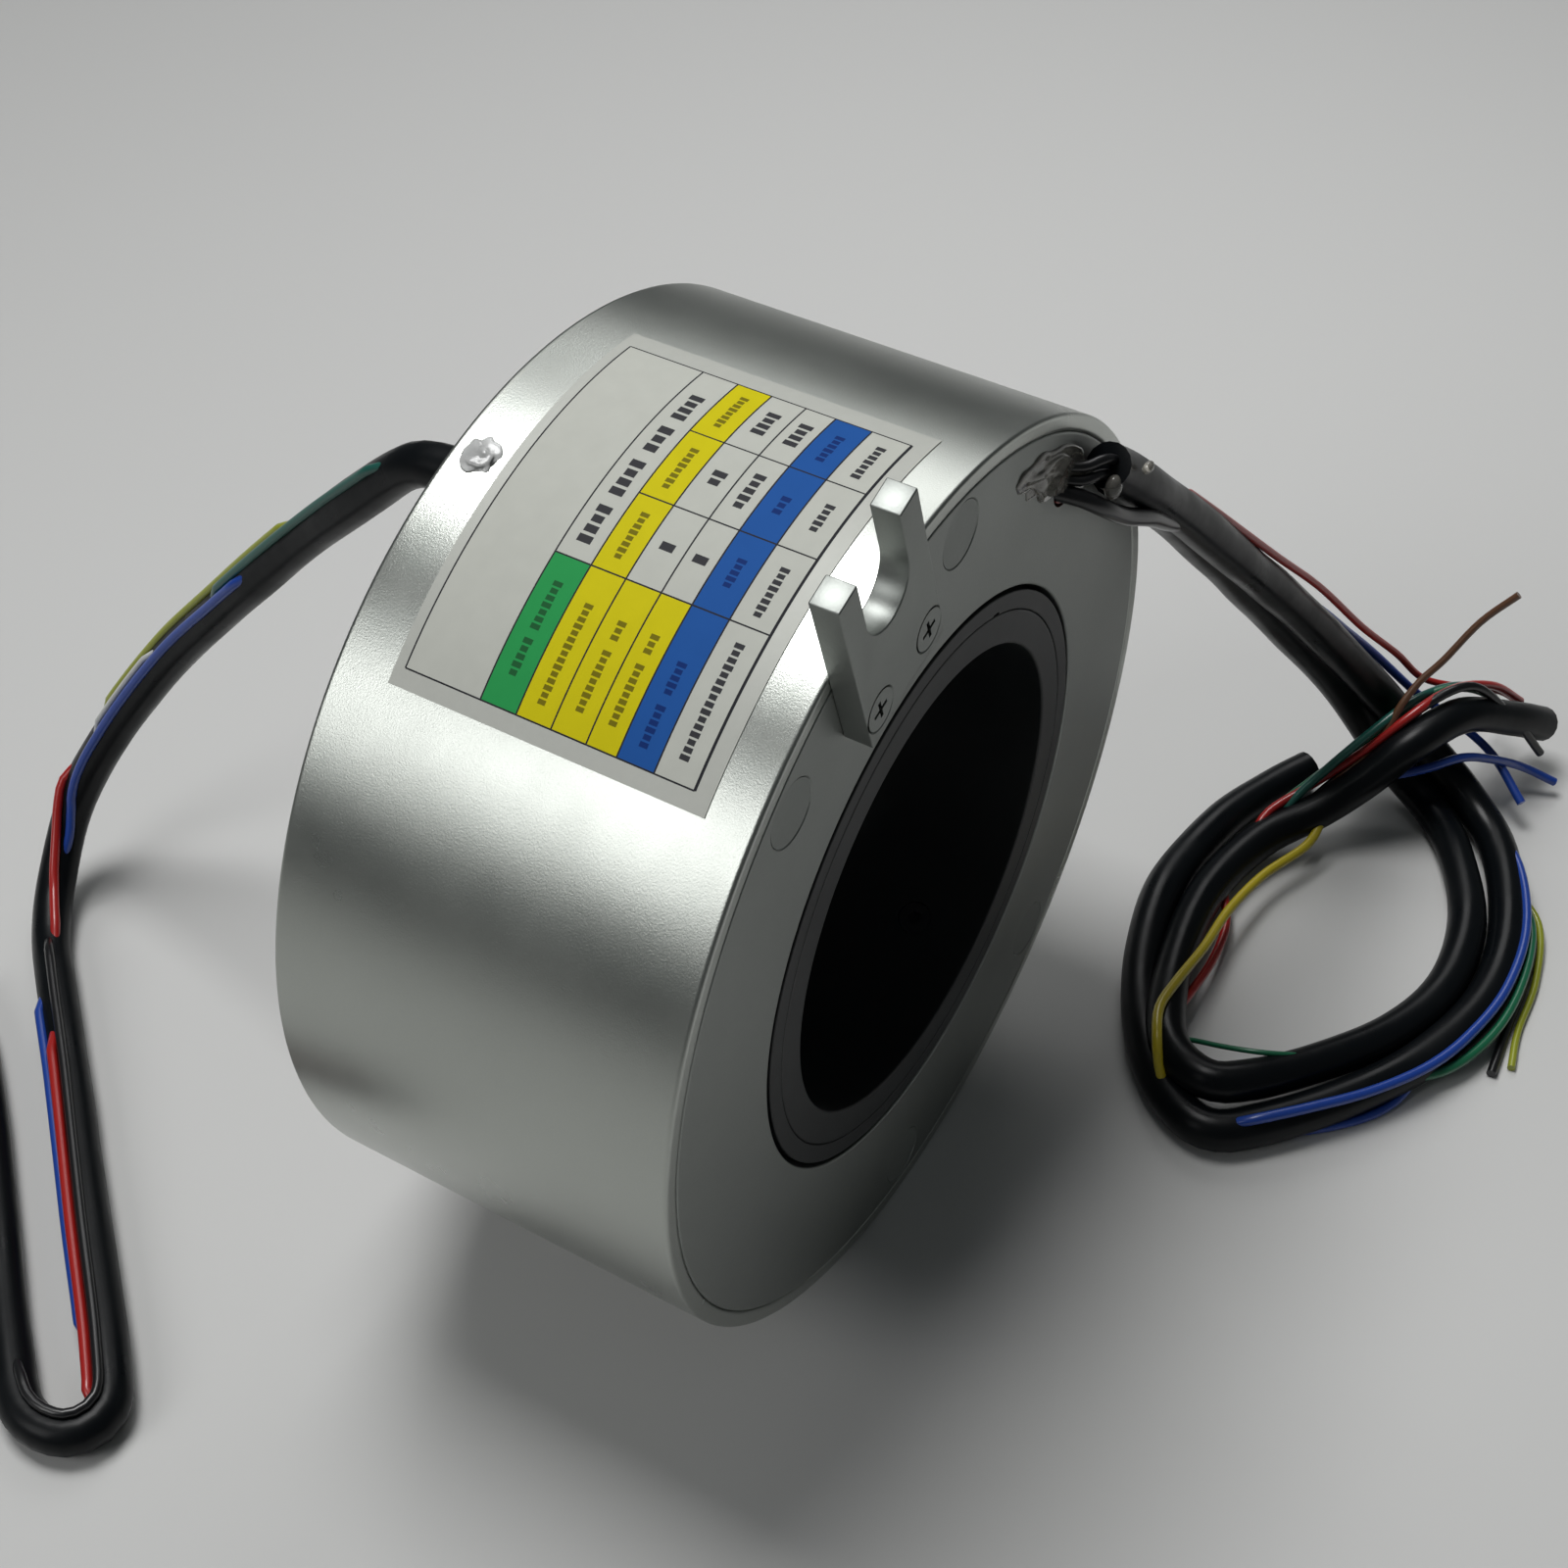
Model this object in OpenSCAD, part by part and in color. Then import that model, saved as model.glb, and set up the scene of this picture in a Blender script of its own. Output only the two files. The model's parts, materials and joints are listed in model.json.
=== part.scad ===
// Through-bore electrical slip ring: a fixed housing with brushes and a hollow rotor with seven
// contact rings. The spin axis is Y, the front face looks along -Y at y = 0, and +Z is up.
// Every piece is drawn with the axis along local Z and the front face at z = 0, and then laid over.

/* [Rotor] */
// Diameter of the shaft bore
bore_d = 70; // [64:0.5:76]
// Radial wall of the rotor sleeve
sleeve_wall = 5; // [4.5:0.1:6.5]
// Radial height of the locking collar and of the rear step
collar_h = 2.8; // [2.4:0.1:2.9]
// Length of the front locking collar
collar_len = 14; // [13.5:0.5:18]
// Outside diameter of the rear clamp flange
flange_d = 100; // [99:0.5:106]
// Thickness of the rear clamp flange
flange_t = 9; // [8.5:0.5:12]
// Edge break on the bore
bore_chamfer = 0.4; // [0.2:0.1:0.8]

/* [Contact rings] */
// Axial width of one contact ring
ring_w = 2; // [1.8:0.1:2.4]
// Radial height of one contact ring
ring_h = 5.5; // [5:0.1:6]
// Depth of the brush track turned into each ring
track_depth = 0.8; // [0.5:0.05:0.9]
// Axial width of one insulator
insulator_w = 1; // [0.8:0.05:1.5]
// How far an insulator stands above the contact rings
insulator_lip = 2; // [1.5:0.1:2.3]
// Radial space between the sleeve and the contact rings
ring_seat = 1.5; // [1.2:0.1:1.8]
// Thickness of the washers at the ends of the ring stack
end_washer_t = 1; // [0.8:0.1:2]

/* [Bearings] */
// Width of a thin-section bearing
bearing_w = 10; // [9:0.5:12]
// Radial height of a thin-section bearing
bearing_h = 10; // [9.8:0.1:11]
// Ball diameter
ball_d = 6; // [5.6:0.1:6.4]
// Number of balls
ball_count = 24; // [18:1:26]
// Width of the ball cage
cage_w = 7.6; // [7.2:0.1:8.2]
// Thickness of a bearing seal
seal_t = 0.8; // [0.5:0.1:1]

/* [Housing] */
// Wall of the housing tube between the caps
housing_wall = 4; // [3.5:0.1:6]
// Wall of the housing tube round the cap flanges
lip_wall = 2.5; // [2.2:0.1:3]
// Thickness of a cap flange
cap_flange_t = 5; // [4.5:0.1:6]
// Length of a cap's spigot behind its flange
spigot_len = 7; // [5:0.5:8]
// Rear wall that holds the rear bearing
rear_wall_t = 2; // [1.6:0.1:3]
// Wall of the bearing hub
hub_wall = 4; // [3.6:0.1:5]
// Radial running gap between a cap and the rotor
running_gap = 0.7; // [0.6:0.05:1.2]
// Edge break on the housing rims
rim_chamfer = 0.6; // [0.3:0.1:1]
// Diameter of the filled locking hole near the rear rim
side_hole_d = 5; // [3:0.5:6]
// Distance of that hole from the rear rim
side_hole_in = 4.2; // [4:0.1:4.6]

/* [Tie screws] */
// Thread diameter of a tie screw
tie_d = 4; // [3.5:0.5:4.5]
// Head diameter of a tie screw
tie_head_d = 7; // [6.5:0.1:7.6]
// Head height of a tie screw
tie_head_h = 4; // [3.5:0.1:4.5]
// Diameter of the recess over a tie screw
recess_d = 9.2; // [8.6:0.1:9.4]
// Thickness of the filler over a tie screw
filler_t = 1.9; // [1.2:0.1:2.4]
// Outside diameter of the brush-block spacers
spacer_d = 7; // [6.4:0.1:7.6]
// Angle from the tab to a tie screw
tie_spread = 21.2; // [20.5:0.1:22]

/* [Torque tab] */
// Angle of the tab round the face
tab_angle = 108; // [100:1:112]
// Width of the tab
tab_w = 18.4; // [17.5:0.1:22]
// Thickness of the tab
tab_t = 4; // [3:0.5:6]
// Radius of the tab's outer edge
tab_reach = 83; // [80:0.5:90]
// Radius of the tab's inner edge
tab_root = 54; // [53:0.5:55]
// Width of the slot for the stop pin
tab_slot_w = 10; // [8:0.5:11]
// Depth of the slot
tab_slot_depth = 13.5; // [12:0.5:14]
// Distance of the tab's screws from its inner edge
tab_screw_in = 4.3; // [4:0.1:5]
// Distance between the tab's screws
tab_screw_gap = 12.2; // [11:0.1:12.8]
// Thread diameter of the tab's screws
tab_screw_d = 3; // [2.5:0.5:3]
// Head diameter of the tab's screws
tab_head_d = 5.7; // [5.2:0.1:5.8]
// Length of the tab's screws
tab_screw_len = 12; // [9:0.5:13]

/* [Brushes] */
// Length of a brush block along the chord
block_len = 54; // [50:0.5:55]
// Axial width of a brush block
block_w = 20; // [19:0.5:21]
// Radial gap between the insulators and a brush block
block_gap = 2; // [1.6:0.1:2.4]
// Diameter of a brush wire
wire_d = 0.5; // [0.3:0.1:0.6]
// Diameter of a brush anchor pin
pin_d = 1.4; // [1:0.1:1.6]
// Depth of an anchor pin in its block
pin_depth = 5; // [3:0.5:6]

/* [Small screws] */
// Distance of the bore screws behind the front face
bore_screw_in = 10.5; // [9:0.5:11]
// Head diameter of a bore screw
bore_head_d = 5; // [4.4:0.1:5.4]
// Thread diameter of a bore screw
bore_screw_d = 3; // [2.5:0.5:3]
// Diameter of a clamp set screw
set_d = 5; // [4:0.5:5]
// Length of a clamp set screw
set_len = 12; // [10:0.5:13]

/* [Label] */
// Length of the label round the housing
label_arc = 60.6; // [50:0.1:62]
// Width of the label along the axis
label_w = 45.3; // [40:0.1:46]
// Thickness of the label
label_t = 0.12; // [0.1:0.02:0.3]
// Angle of the label's middle
label_angle = 107.4; // [100:0.1:115]
// Distance of the label from the rear rim
label_rear_in = 8.1; // [7.9:0.1:12]

/* [Leads] */
// Diameter of the stator lead
stator_lead_d = 9; // [8:0.5:9]
// Diameter of the rotor lead
rotor_lead_d = 8; // [7:0.5:8]
// Angle of the stator lead's exit
stator_exit_angle = 53; // [48:1:58]
// Diameter of the wire hole in the front cap
wire_hole_d = 8; // [6:0.5:8]
// Angle of the rotor lead's exit
rotor_exit_angle = 95; // [90:1:100]
// Diameter of the wire hole in the rear flange
flange_hole_d = 7; // [6:0.5:7.4]
// Height of the glue over the stator wires
glue_h = 3.4; // [2.6:0.1:4]

/* [Fits] */
// Clearance of a seated diameter
seat_fit = 0.02; // [0.01:0.01:0.05]
// Clearance of a piece in its hole
hole_fit = 0.1; // [0.05:0.05:0.2]
// Clearance between balls, races and cage
ball_fit = 0.12; // [0.1:0.01:0.15]
// Clearance between a brush wire and its track
brush_fit = 0.3; // [0.2:0.05:0.3]

/* [Hidden] */
$fn = 96;

// Radii, from the bore outwards
eps = 0.01;
bore_r = bore_d / 2;
sleeve_r = bore_r + sleeve_wall;
collar_r = sleeve_r + collar_h;
pitch_r = sleeve_r + bearing_h / 2;
race_r = sleeve_r + bearing_h;
race_inner_lip = pitch_r - ball_d * 0.3;
race_outer_lip = pitch_r + ball_d * 0.3;
ring_ri = sleeve_r + ring_seat;
ring_ro = ring_ri + ring_h;
insulator_r = ring_ro + insulator_lip;
cap_bore_r = collar_r + running_gap;
hub_r = race_r + hub_wall;
tie_r = hub_r + 2 + spacer_d / 2;
housing_ri = tie_r + spacer_d / 2 + 0.5;
housing_r = housing_ri + housing_wall;
cap_r = housing_r - lip_wall - seat_fit;
spigot_r = housing_ri - seat_fit;
flange_r = flange_d / 2;

// Depths behind the front face
ring_count = 7;
stack_len = ring_count * ring_w + (ring_count + 1) * insulator_w;
front_bearing_in = collar_len;
washer_in = front_bearing_in + bearing_w;
stack_in = washer_in + end_washer_t;
rear_washer_in = stack_in + stack_len;
rear_bearing_in = rear_washer_in + end_washer_t;
body_len = rear_bearing_in + bearing_w + rear_wall_t;
flange_in = body_len + 1;
rotor_len = flange_in + flange_t;
block_in = stack_in + stack_len / 2 - block_w / 2;
rear_spigot_in = body_len - cap_flange_t - spigot_len;
front_spigot_end = cap_flange_t + spigot_len;
hub_len = washer_in - 0.5;
tie_head_in = filler_t + hole_fit;
tie_end = body_len - 4;

// Brushes
block_inner = insulator_r + block_gap;
block_outer_r = housing_ri - 0.5;
track_r = ring_ro - track_depth;
wire_touch_r = track_r + wire_d / 2 + brush_fit;
wire_anchor = block_inner - wire_d / 2 - 0.15;
wire_angle = acos(wire_touch_r / wire_anchor);
wire_len = wire_anchor * sin(wire_angle) + 3;

label_in = body_len - label_rear_in - label_w;
label_skew = 0.7;

tab_screw_r = tab_root + tab_screw_in;

// Wire ways
wire_hole_r = hub_r + wire_hole_d / 2 + 0.5;
wiring_h = spacer_d / 2 + 1;
wiring_gap = 7;
groove_w = 9;
groove_depth = 2.4;
groove_r = sleeve_r - groove_depth;
flange_hole_r = flange_r - flange_hole_d / 2 - 0.9;
set_in = flange_in + flange_t / 2;
rotor_glue_t = 2.5;
tie_angles = [tab_angle - tie_spread, tab_angle + tie_spread,
    tab_angle + 180 - tie_spread, tab_angle + 180 + tie_spread];
bore_screw_angles = [-60, 60, 180];
set_angles = [35, 155, 275];
block_angles = [tab_angle, tab_angle + 180];

// Leads: route points in the part's own frame, laid by hand; the surface under the part is at floor_z
floor_z = -housing_r;
lead_sides = 10;
stator_route = [[36, -5.2, 47.5], [44, -5.5, 41], [50.5, -6, 35.5], [70, -7.5, 15], [96, -14, -15],
    [114, -23, -40], [121.5, -34, -56], [118.5, -47, -62]];
stator_loop = [[118.5, -47], [111.5, -57], [104, -62], [92, -66], [77, -67], [65, -65], [50, -57.5],
    [40, -48], [33, -39], [31, -31], [38, -22], [54, -15], [72, -12.5], [88, -15], [99, -20]];
stator_tail = [[96, -23, -59.5], [102, -29, -59], [109, -37, -54.5], [115.5, -44, -50], [126, -48.5, -50.5],
    [138, -51.6, -55], [147, -53, -60]];
tail_d = 7;
loop_size = [15, 9];
rotor_route = [[-4, 72.5, 45.4], [-4, 80, 44], [-4, 90, 35.5], [-3.5, 106, 20], [-3, 126, 0],
    [-4.5, 143, -20], [-9, 156, -40], [-17, 161, -54], [-27, 159, -61.5], [-36, 152, -63]];
hank_route = [[-36, 152], [-42, 141], [-57, 126], [-78, 105], [-96, 86.5], [-104, 80.5], [-110, 84],
    [-109, 93], [-100, 102], [-84, 117], [-68, 133], [-56, 147], [-50, 158]];

module lay_over() { rotate([90, 0, 0]) children(); }
module at(angle, radius, depth) { rotate([0, 0, angle]) translate([radius, 0, -depth]) children(); }
module tube(outer, inner, from, to) {
    translate([0, 0, -to]) difference() {
        cylinder(r = outer, h = to - from);
        translate([0, 0, -eps]) cylinder(r = inner, h = to - from + 2 * eps);
    }
}
module turned(points) { rotate_extrude() polygon([for (p = points) [p[0], -p[1]]]); }
module radial(angle, depth) { rotate([0, 0, angle]) translate([0, 0, -depth]) rotate([0, 90, 0]) children(); }

function unit(v) = v / norm(v);
function along(route, i) = unit(route[min(i + 1, len(route) - 1)] - route[max(i - 1, 0)]);
function ring_at(p, t, ref, half, sides) = let (u = unit(cross(t, ref)), v = cross(u, t))
    [for (k = [0:sides - 1]) p + u * half[0] * sin(k * 360 / sides) + v * half[1] * cos(k * 360 / sides)];
// A tube swept along a route; half holds its half width and half height, ref points to its top
module swept(route, half, ref, sides) {
    n = len(route);
    rings = [for (i = [0:n - 1]) each ring_at(route[i], along(route, i), ref, half, sides)];
    walls = [for (i = [0:n - 2]) for (k = [0:sides - 1])
        let (a = i * sides, b = a + sides, m = (k + 1) % sides)
            each [[a + k, b + k, b + m], [a + k, b + m, a + m]]];
    ends = [[for (k = [0:sides - 1]) k], [for (k = [sides - 1:-1:0]) (n - 1) * sides + k]];
    polyhedron(rings, concat(walls, ends));
}

module housing() {
    color([0.76, 0.78, 0.77]) lay_over() difference() {
        turned([[housing_ri, cap_flange_t], [housing_r - lip_wall, cap_flange_t], [housing_r - lip_wall, 0],
            [housing_r - rim_chamfer, 0], [housing_r, rim_chamfer], [housing_r, body_len - rim_chamfer],
            [housing_r - rim_chamfer, body_len], [housing_r - lip_wall, body_len],
            [housing_r - lip_wall, body_len - cap_flange_t], [housing_ri, body_len - cap_flange_t]]);
        radial(label_angle - label_skew, body_len - side_hole_in)
            translate([0, 0, housing_r - 1.5]) cylinder(d = side_hole_d, h = 3);
    }
}

module front_cap() {
    color([0.66, 0.68, 0.67]) lay_over() difference() {
        turned([[cap_bore_r, 0], [cap_r - 0.3, 0], [cap_r, 0.3], [cap_r, cap_flange_t],
            [spigot_r, cap_flange_t], [spigot_r, front_spigot_end], [hub_r, front_spigot_end],
            [hub_r, hub_len], [race_r + seat_fit, hub_len], [race_r + seat_fit, front_bearing_in],
            [cap_bore_r, front_bearing_in]]);
        for (a = tie_angles) {
            at(a, tie_r, tie_head_in + tie_head_h) cylinder(d = recess_d, h = tie_head_in + tie_head_h + eps);
            at(a, tie_r, front_spigot_end + eps) cylinder(r = tie_d / 2 + hole_fit, h = front_spigot_end);
        }
        at(stator_exit_angle, wire_hole_r, front_spigot_end + eps)
            cylinder(d = wire_hole_d, h = front_spigot_end + 2 * eps);
        for (s = [-1, 1]) rotate([0, 0, tab_angle]) translate([tab_screw_r, s * tab_screw_gap / 2, 0])
            translate([0, 0, tab_t - tab_screw_len - 0.5]) cylinder(d = tab_screw_d, h = tab_screw_len);
    }
}

module rear_cap() {
    color([0.66, 0.68, 0.67]) lay_over() difference() {
        turned([[cap_bore_r, body_len], [cap_r - 0.3, body_len], [cap_r, body_len - 0.3],
            [cap_r, body_len - cap_flange_t], [spigot_r, body_len - cap_flange_t],
            [spigot_r, rear_spigot_in], [race_r + seat_fit, rear_spigot_in],
            [race_r + seat_fit, body_len - rear_wall_t], [cap_bore_r, body_len - rear_wall_t]]);
        for (a = tie_angles) at(a, tie_r, tie_end + 0.5) cylinder(d = tie_d, h = tie_end);
    }
}

module tie_screws() {
    color([0.3, 0.3, 0.31]) lay_over() for (a = tie_angles) difference() {
        union() {
            at(a, tie_r, tie_head_in + tie_head_h) cylinder(d = tie_head_d, h = tie_head_h);
            at(a, tie_r, tie_end) cylinder(d = tie_d - 2 * seat_fit, h = tie_end - tie_head_in - eps);
        }
        at(a, tie_r, tie_head_in + 2) cylinder(d = 3.4, h = 3, $fn = 6);
    }
}

module screw_fillers() {
    color([0.6, 0.62, 0.61]) lay_over() for (a = tie_angles)
        at(a, tie_r, filler_t) cylinder(r = recess_d / 2 - seat_fit, h = filler_t - 0.1);
}

module torque_tab() {
    slot_r = tab_slot_w / 2;
    color([0.74, 0.76, 0.75]) lay_over() rotate([0, 0, tab_angle]) difference() {
        translate([tab_root, -tab_w / 2, 0]) cube([tab_reach - tab_root, tab_w, tab_t]);
        translate([tab_reach - tab_slot_depth + slot_r, 0, -eps]) {
            cylinder(r = slot_r, h = tab_t + 2 * eps);
            translate([0, -slot_r, 0]) cube([tab_slot_depth, tab_slot_w, tab_t + 2 * eps]);
        }
        for (s = [-1, 1]) translate([tab_screw_r, s * tab_screw_gap / 2, 0]) {
            translate([0, 0, -eps]) cylinder(r = tab_screw_d / 2 + hole_fit, h = tab_t + 2 * eps);
            translate([0, 0, tab_t - (tab_head_d - tab_screw_d) / 2])
                cylinder(d1 = tab_screw_d + 2 * hole_fit, d2 = tab_head_d + 2 * hole_fit,
                    h = (tab_head_d - tab_screw_d) / 2 + eps);
        }
    }
}

module tab_screws() {
    cone_h = (tab_head_d - tab_screw_d) / 2;
    color([0.8, 0.8, 0.8]) lay_over() rotate([0, 0, tab_angle]) for (s = [-1, 1])
        translate([tab_screw_r, s * tab_screw_gap / 2, 0]) difference() {
            union() {
                translate([0, 0, tab_t - tab_screw_len])
                    cylinder(d = tab_screw_d - 2 * seat_fit, h = tab_screw_len - cone_h + eps);
                translate([0, 0, tab_t - cone_h]) cylinder(d1 = tab_screw_d - 2 * seat_fit,
                    d2 = tab_head_d, h = cone_h);
            }
            for (r = [0, 90]) rotate([0, 0, r]) translate([-0.3, -1.5, tab_t - 1]) cube([0.6, 3, 2]);
        }
}

module label_plate() {
    turn = label_arc / housing_r * 180 / PI;
    color([0.9, 0.9, 0.9]) lay_over() rotate([0, 0, label_angle - turn / 2])
        translate([0, 0, -label_in - label_w]) rotate_extrude(angle = turn, $fn = 180)
            translate([housing_r + seat_fit, 0]) square([label_t, label_w]);
}

module side_filler() {
    color([0.92, 0.93, 0.93]) lay_over() radial(label_angle - label_skew, body_len - side_hole_in)
        translate([0, 0, housing_r - 1.5]) cylinder(d = side_hole_d - 2 * seat_fit, h = 1.6);
}

module brush_block(angle) {
    color([0.12, 0.3, 0.2]) lay_over() difference() {
        intersection() {
            rotate([0, 0, angle]) translate([block_inner, -block_len / 2, -block_in - block_w])
                cube([housing_r - block_inner, block_len, block_w]);
            translate([0, 0, -block_in - block_w]) cylinder(r = block_outer_r, h = block_w);
        }
        for (a = [angle - tie_spread, angle + tie_spread])
            at(a, tie_r, block_in + block_w + eps) cylinder(r = tie_d / 2 + hole_fit, h = block_w + 2 * eps);
        for (i = [1:ring_count]) at(angle, block_inner - eps, ring_mid(i)) rotate([0, 90, 0])
            cylinder(r = pin_d / 2 + seat_fit, h = pin_depth);
    }
}
module brush_block_top() { brush_block(block_angles[0]); }
module brush_block_bottom() { brush_block(block_angles[1]); }

module spacers(from, to) {
    color([0.7, 0.7, 0.72]) lay_over() for (a = tie_angles) at(a, tie_r, to) difference() {
        cylinder(d = spacer_d, h = to - from);
        translate([0, 0, -eps]) cylinder(r = tie_d / 2 + hole_fit, h = to - from + 2 * eps);
    }
}
module spacers_front() { spacers(front_spigot_end, block_in); }
module spacers_rear() { spacers(block_in + block_w, rear_spigot_in); }

function ring_mid(i) = stack_in + i * insulator_w + (i - 0.5) * ring_w;

module brush_pair(i) {
    color([0.85, 0.66, 0.3]) lay_over() for (a = block_angles) at(a, 0, ring_mid(i)) {
        translate([wire_anchor - wire_d / 2, 0, 0]) rotate([0, 90, 0])
            cylinder(d = pin_d, h = pin_depth, $fn = 24);
        for (s = [-1, 1]) translate([wire_anchor, 0, 0]) rotate([0, 0, s * (90 + wire_angle)])
            rotate([0, 90, 0]) cylinder(d = wire_d, h = wire_len, $fn = 16);
    }
}

module inner_race(from) {
    groove_r = ball_d / 2 + ball_fit;
    color([0.75, 0.76, 0.78]) lay_over() difference() {
        tube(race_inner_lip, sleeve_r + seat_fit, from, from + bearing_w);
        translate([0, 0, -from - bearing_w / 2]) rotate_extrude()
            translate([pitch_r, 0]) circle(r = groove_r);
    }
}
module outer_race(from) {
    groove_r = ball_d / 2 + ball_fit;
    color([0.75, 0.76, 0.78]) lay_over() difference() {
        tube(race_r, race_outer_lip, from, from + bearing_w);
        translate([0, 0, -from - bearing_w / 2]) rotate_extrude()
            translate([pitch_r, 0]) circle(r = groove_r);
    }
}
module balls(from) {
    color([0.85, 0.86, 0.88]) lay_over() for (k = [0:ball_count - 1])
        at(k * 360 / ball_count, pitch_r, from + bearing_w / 2) sphere(d = ball_d, $fn = 24);
}
module cage(from) {
    edge = (bearing_w - cage_w) / 2;
    color([0.55, 0.4, 0.2]) lay_over() difference() {
        tube(pitch_r + 0.9, pitch_r - 0.9, from + edge, from + bearing_w - edge);
        for (k = [0:ball_count - 1]) rotate([0, 0, k * 360 / ball_count]) translate([pitch_r - 2, 0, -from])
            translate([0, 0, -bearing_w / 2]) rotate([0, 90, 0]) cylinder(r = ball_d / 2 + ball_fit, h = 4);
    }
}
module seal(from) {
    color([0.1, 0.1, 0.1]) lay_over()
        tube(race_outer_lip - seat_fit, race_inner_lip + ball_fit, from, from + seal_t);
}
module front_inner_race() { inner_race(front_bearing_in); }
module rear_inner_race() { inner_race(rear_bearing_in); }
module front_outer_race() { outer_race(front_bearing_in); }
module rear_outer_race() { outer_race(rear_bearing_in); }
module front_balls() { balls(front_bearing_in); }
module rear_balls() { balls(rear_bearing_in); }
module front_cage() { cage(front_bearing_in); }
module rear_cage() { cage(rear_bearing_in); }
module front_seal() { seal(front_bearing_in); }
module rear_seal() { seal(rear_bearing_in + bearing_w - seal_t); }

module stator_wiring() {
    inner = housing_ri - wiring_h;
    outer = housing_ri - hole_fit;
    low = tie_angles[3] - 360 + wiring_gap;
    high = tie_angles[0] - wiring_gap;
    layer = 4;
    color([0.6, 0.12, 0.1]) lay_over() union() {
        rotate([0, 0, low]) translate([0, 0, -front_spigot_end - 0.3 - layer])
            rotate_extrude(angle = high - low) translate([inner, 0]) square([outer - inner, layer]);
        for (a = [low + 3, high - 3]) at(a, (inner + outer) / 2, block_in + block_w / 2)
            cylinder(d = outer - inner - 1, h = block_in + block_w / 2 - front_spigot_end - 2.3);
        at(stator_exit_angle, wire_hole_r, front_spigot_end + 2) cylinder(d = wire_hole_d - 1,
            h = front_spigot_end + 1.9);
    }
}

module stator_lead_glue() {
    start = [stator_route[0][0], stator_route[0][2], -stator_route[0][1]];
    hole = [wire_hole_r * cos(stator_exit_angle), wire_hole_r * sin(stator_exit_angle), 0];
    tangent = [sin(stator_exit_angle), -cos(stator_exit_angle), 0];
    color([0.75, 0.72, 0.62]) lay_over() intersection() {
        hull() {
            translate(hole - 7 * tangent) sphere(r = glue_h * 0.55, $fn = 20);
            translate(hole) sphere(r = glue_h, $fn = 20);
            translate(start + [0, 0, -1.6]) sphere(r = glue_h, $fn = 20);
        }
        translate([0, 0, eps]) cylinder(r = housing_r - 0.4, h = 20);
    }
}

module stator_lead() {
    color([0.08, 0.08, 0.09]) swept(stator_route, [1, 1] * stator_lead_d / 2, [0, 1, 0], lead_sides);
}
module stator_lead_loop() {
    route = [for (p = stator_loop) [p[0], p[1], floor_z + loop_size[1] / 2]];
    color([0.08, 0.08, 0.09]) swept(route, loop_size / 2, [0, 0, 1], lead_sides);
}
module stator_lead_tail() {
    color([0.08, 0.08, 0.09]) swept(stator_tail, [1, 1] * tail_d / 2, [0, 0, 1], lead_sides);
}

module rotor_sleeve() {
    color([0.09, 0.09, 0.1]) lay_over() difference() {
        turned([[bore_r + bore_chamfer, 0], [sleeve_r - seat_fit, 0],
            [sleeve_r - seat_fit, rear_bearing_in + bearing_w],
            [collar_r, rear_bearing_in + bearing_w], [collar_r, flange_in], [flange_r - 0.5, flange_in],
            [flange_r, flange_in + 0.5], [flange_r, rotor_len - 0.5], [flange_r - 0.5, rotor_len],
            [bore_r + bore_chamfer, rotor_len], [bore_r, rotor_len - bore_chamfer], [bore_r, bore_chamfer]]);
        for (a = bore_screw_angles) radial(a, bore_screw_in) {
            translate([0, 0, bore_r - 1]) cylinder(r = bore_head_d / 2 + hole_fit, h = 3);
            translate([0, 0, bore_r]) cylinder(r = bore_screw_d / 2 + hole_fit, h = sleeve_wall + 1);
        }
        for (a = set_angles) radial(a, set_in)
            translate([0, 0, bore_r - 1]) cylinder(d = set_d, h = flange_r - bore_r + 2);
        rotate([0, 0, rotor_exit_angle]) {
            translate([groove_r, -groove_w / 2, -flange_in - 1])
                cube([groove_depth + 1, groove_w, flange_in + 1 - stack_in]);
            translate([groove_r, -groove_w / 2, -flange_in - flange_t / 2])
                cube([flange_hole_r - groove_r, groove_w,
                    flange_in - rear_bearing_in - bearing_w + flange_t / 2 - 0.5]);
        }
        at(rotor_exit_angle, flange_hole_r, rotor_len + eps) cylinder(d = flange_hole_d, h = flange_t);
    }
}

module front_collar() {
    color([0.12, 0.12, 0.13]) lay_over() difference() {
        turned([[sleeve_r + seat_fit, 0.3], [sleeve_r + seat_fit + 0.3, 0], [collar_r - 0.3, 0],
            [collar_r, 0.3], [collar_r, collar_len], [sleeve_r + seat_fit, collar_len]]);
        for (a = bore_screw_angles) radial(a, bore_screw_in)
            translate([0, 0, bore_r]) cylinder(d = bore_screw_d, h = collar_r - bore_r - 0.4);
    }
}

module bore_screws() {
    color([0.16, 0.16, 0.17]) lay_over() for (a = bore_screw_angles) radial(a, bore_screw_in) difference() {
        union() {
            translate([0, 0, bore_r + 0.25]) cylinder(d = bore_head_d, h = 1.75);
            translate([0, 0, bore_r + 1.9])
                cylinder(d = bore_screw_d - 2 * seat_fit, h = collar_r - bore_r - 2.4);
        }
        translate([0, 0, bore_r]) cylinder(d = 2.3, h = 1.3, $fn = 6);
    }
}

module end_washers() {
    color([0.6, 0.6, 0.62]) lay_over() for (from = [washer_in, rear_washer_in])
        tube(race_inner_lip - 0.2, sleeve_r + seat_fit, from, from + end_washer_t);
}

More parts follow.
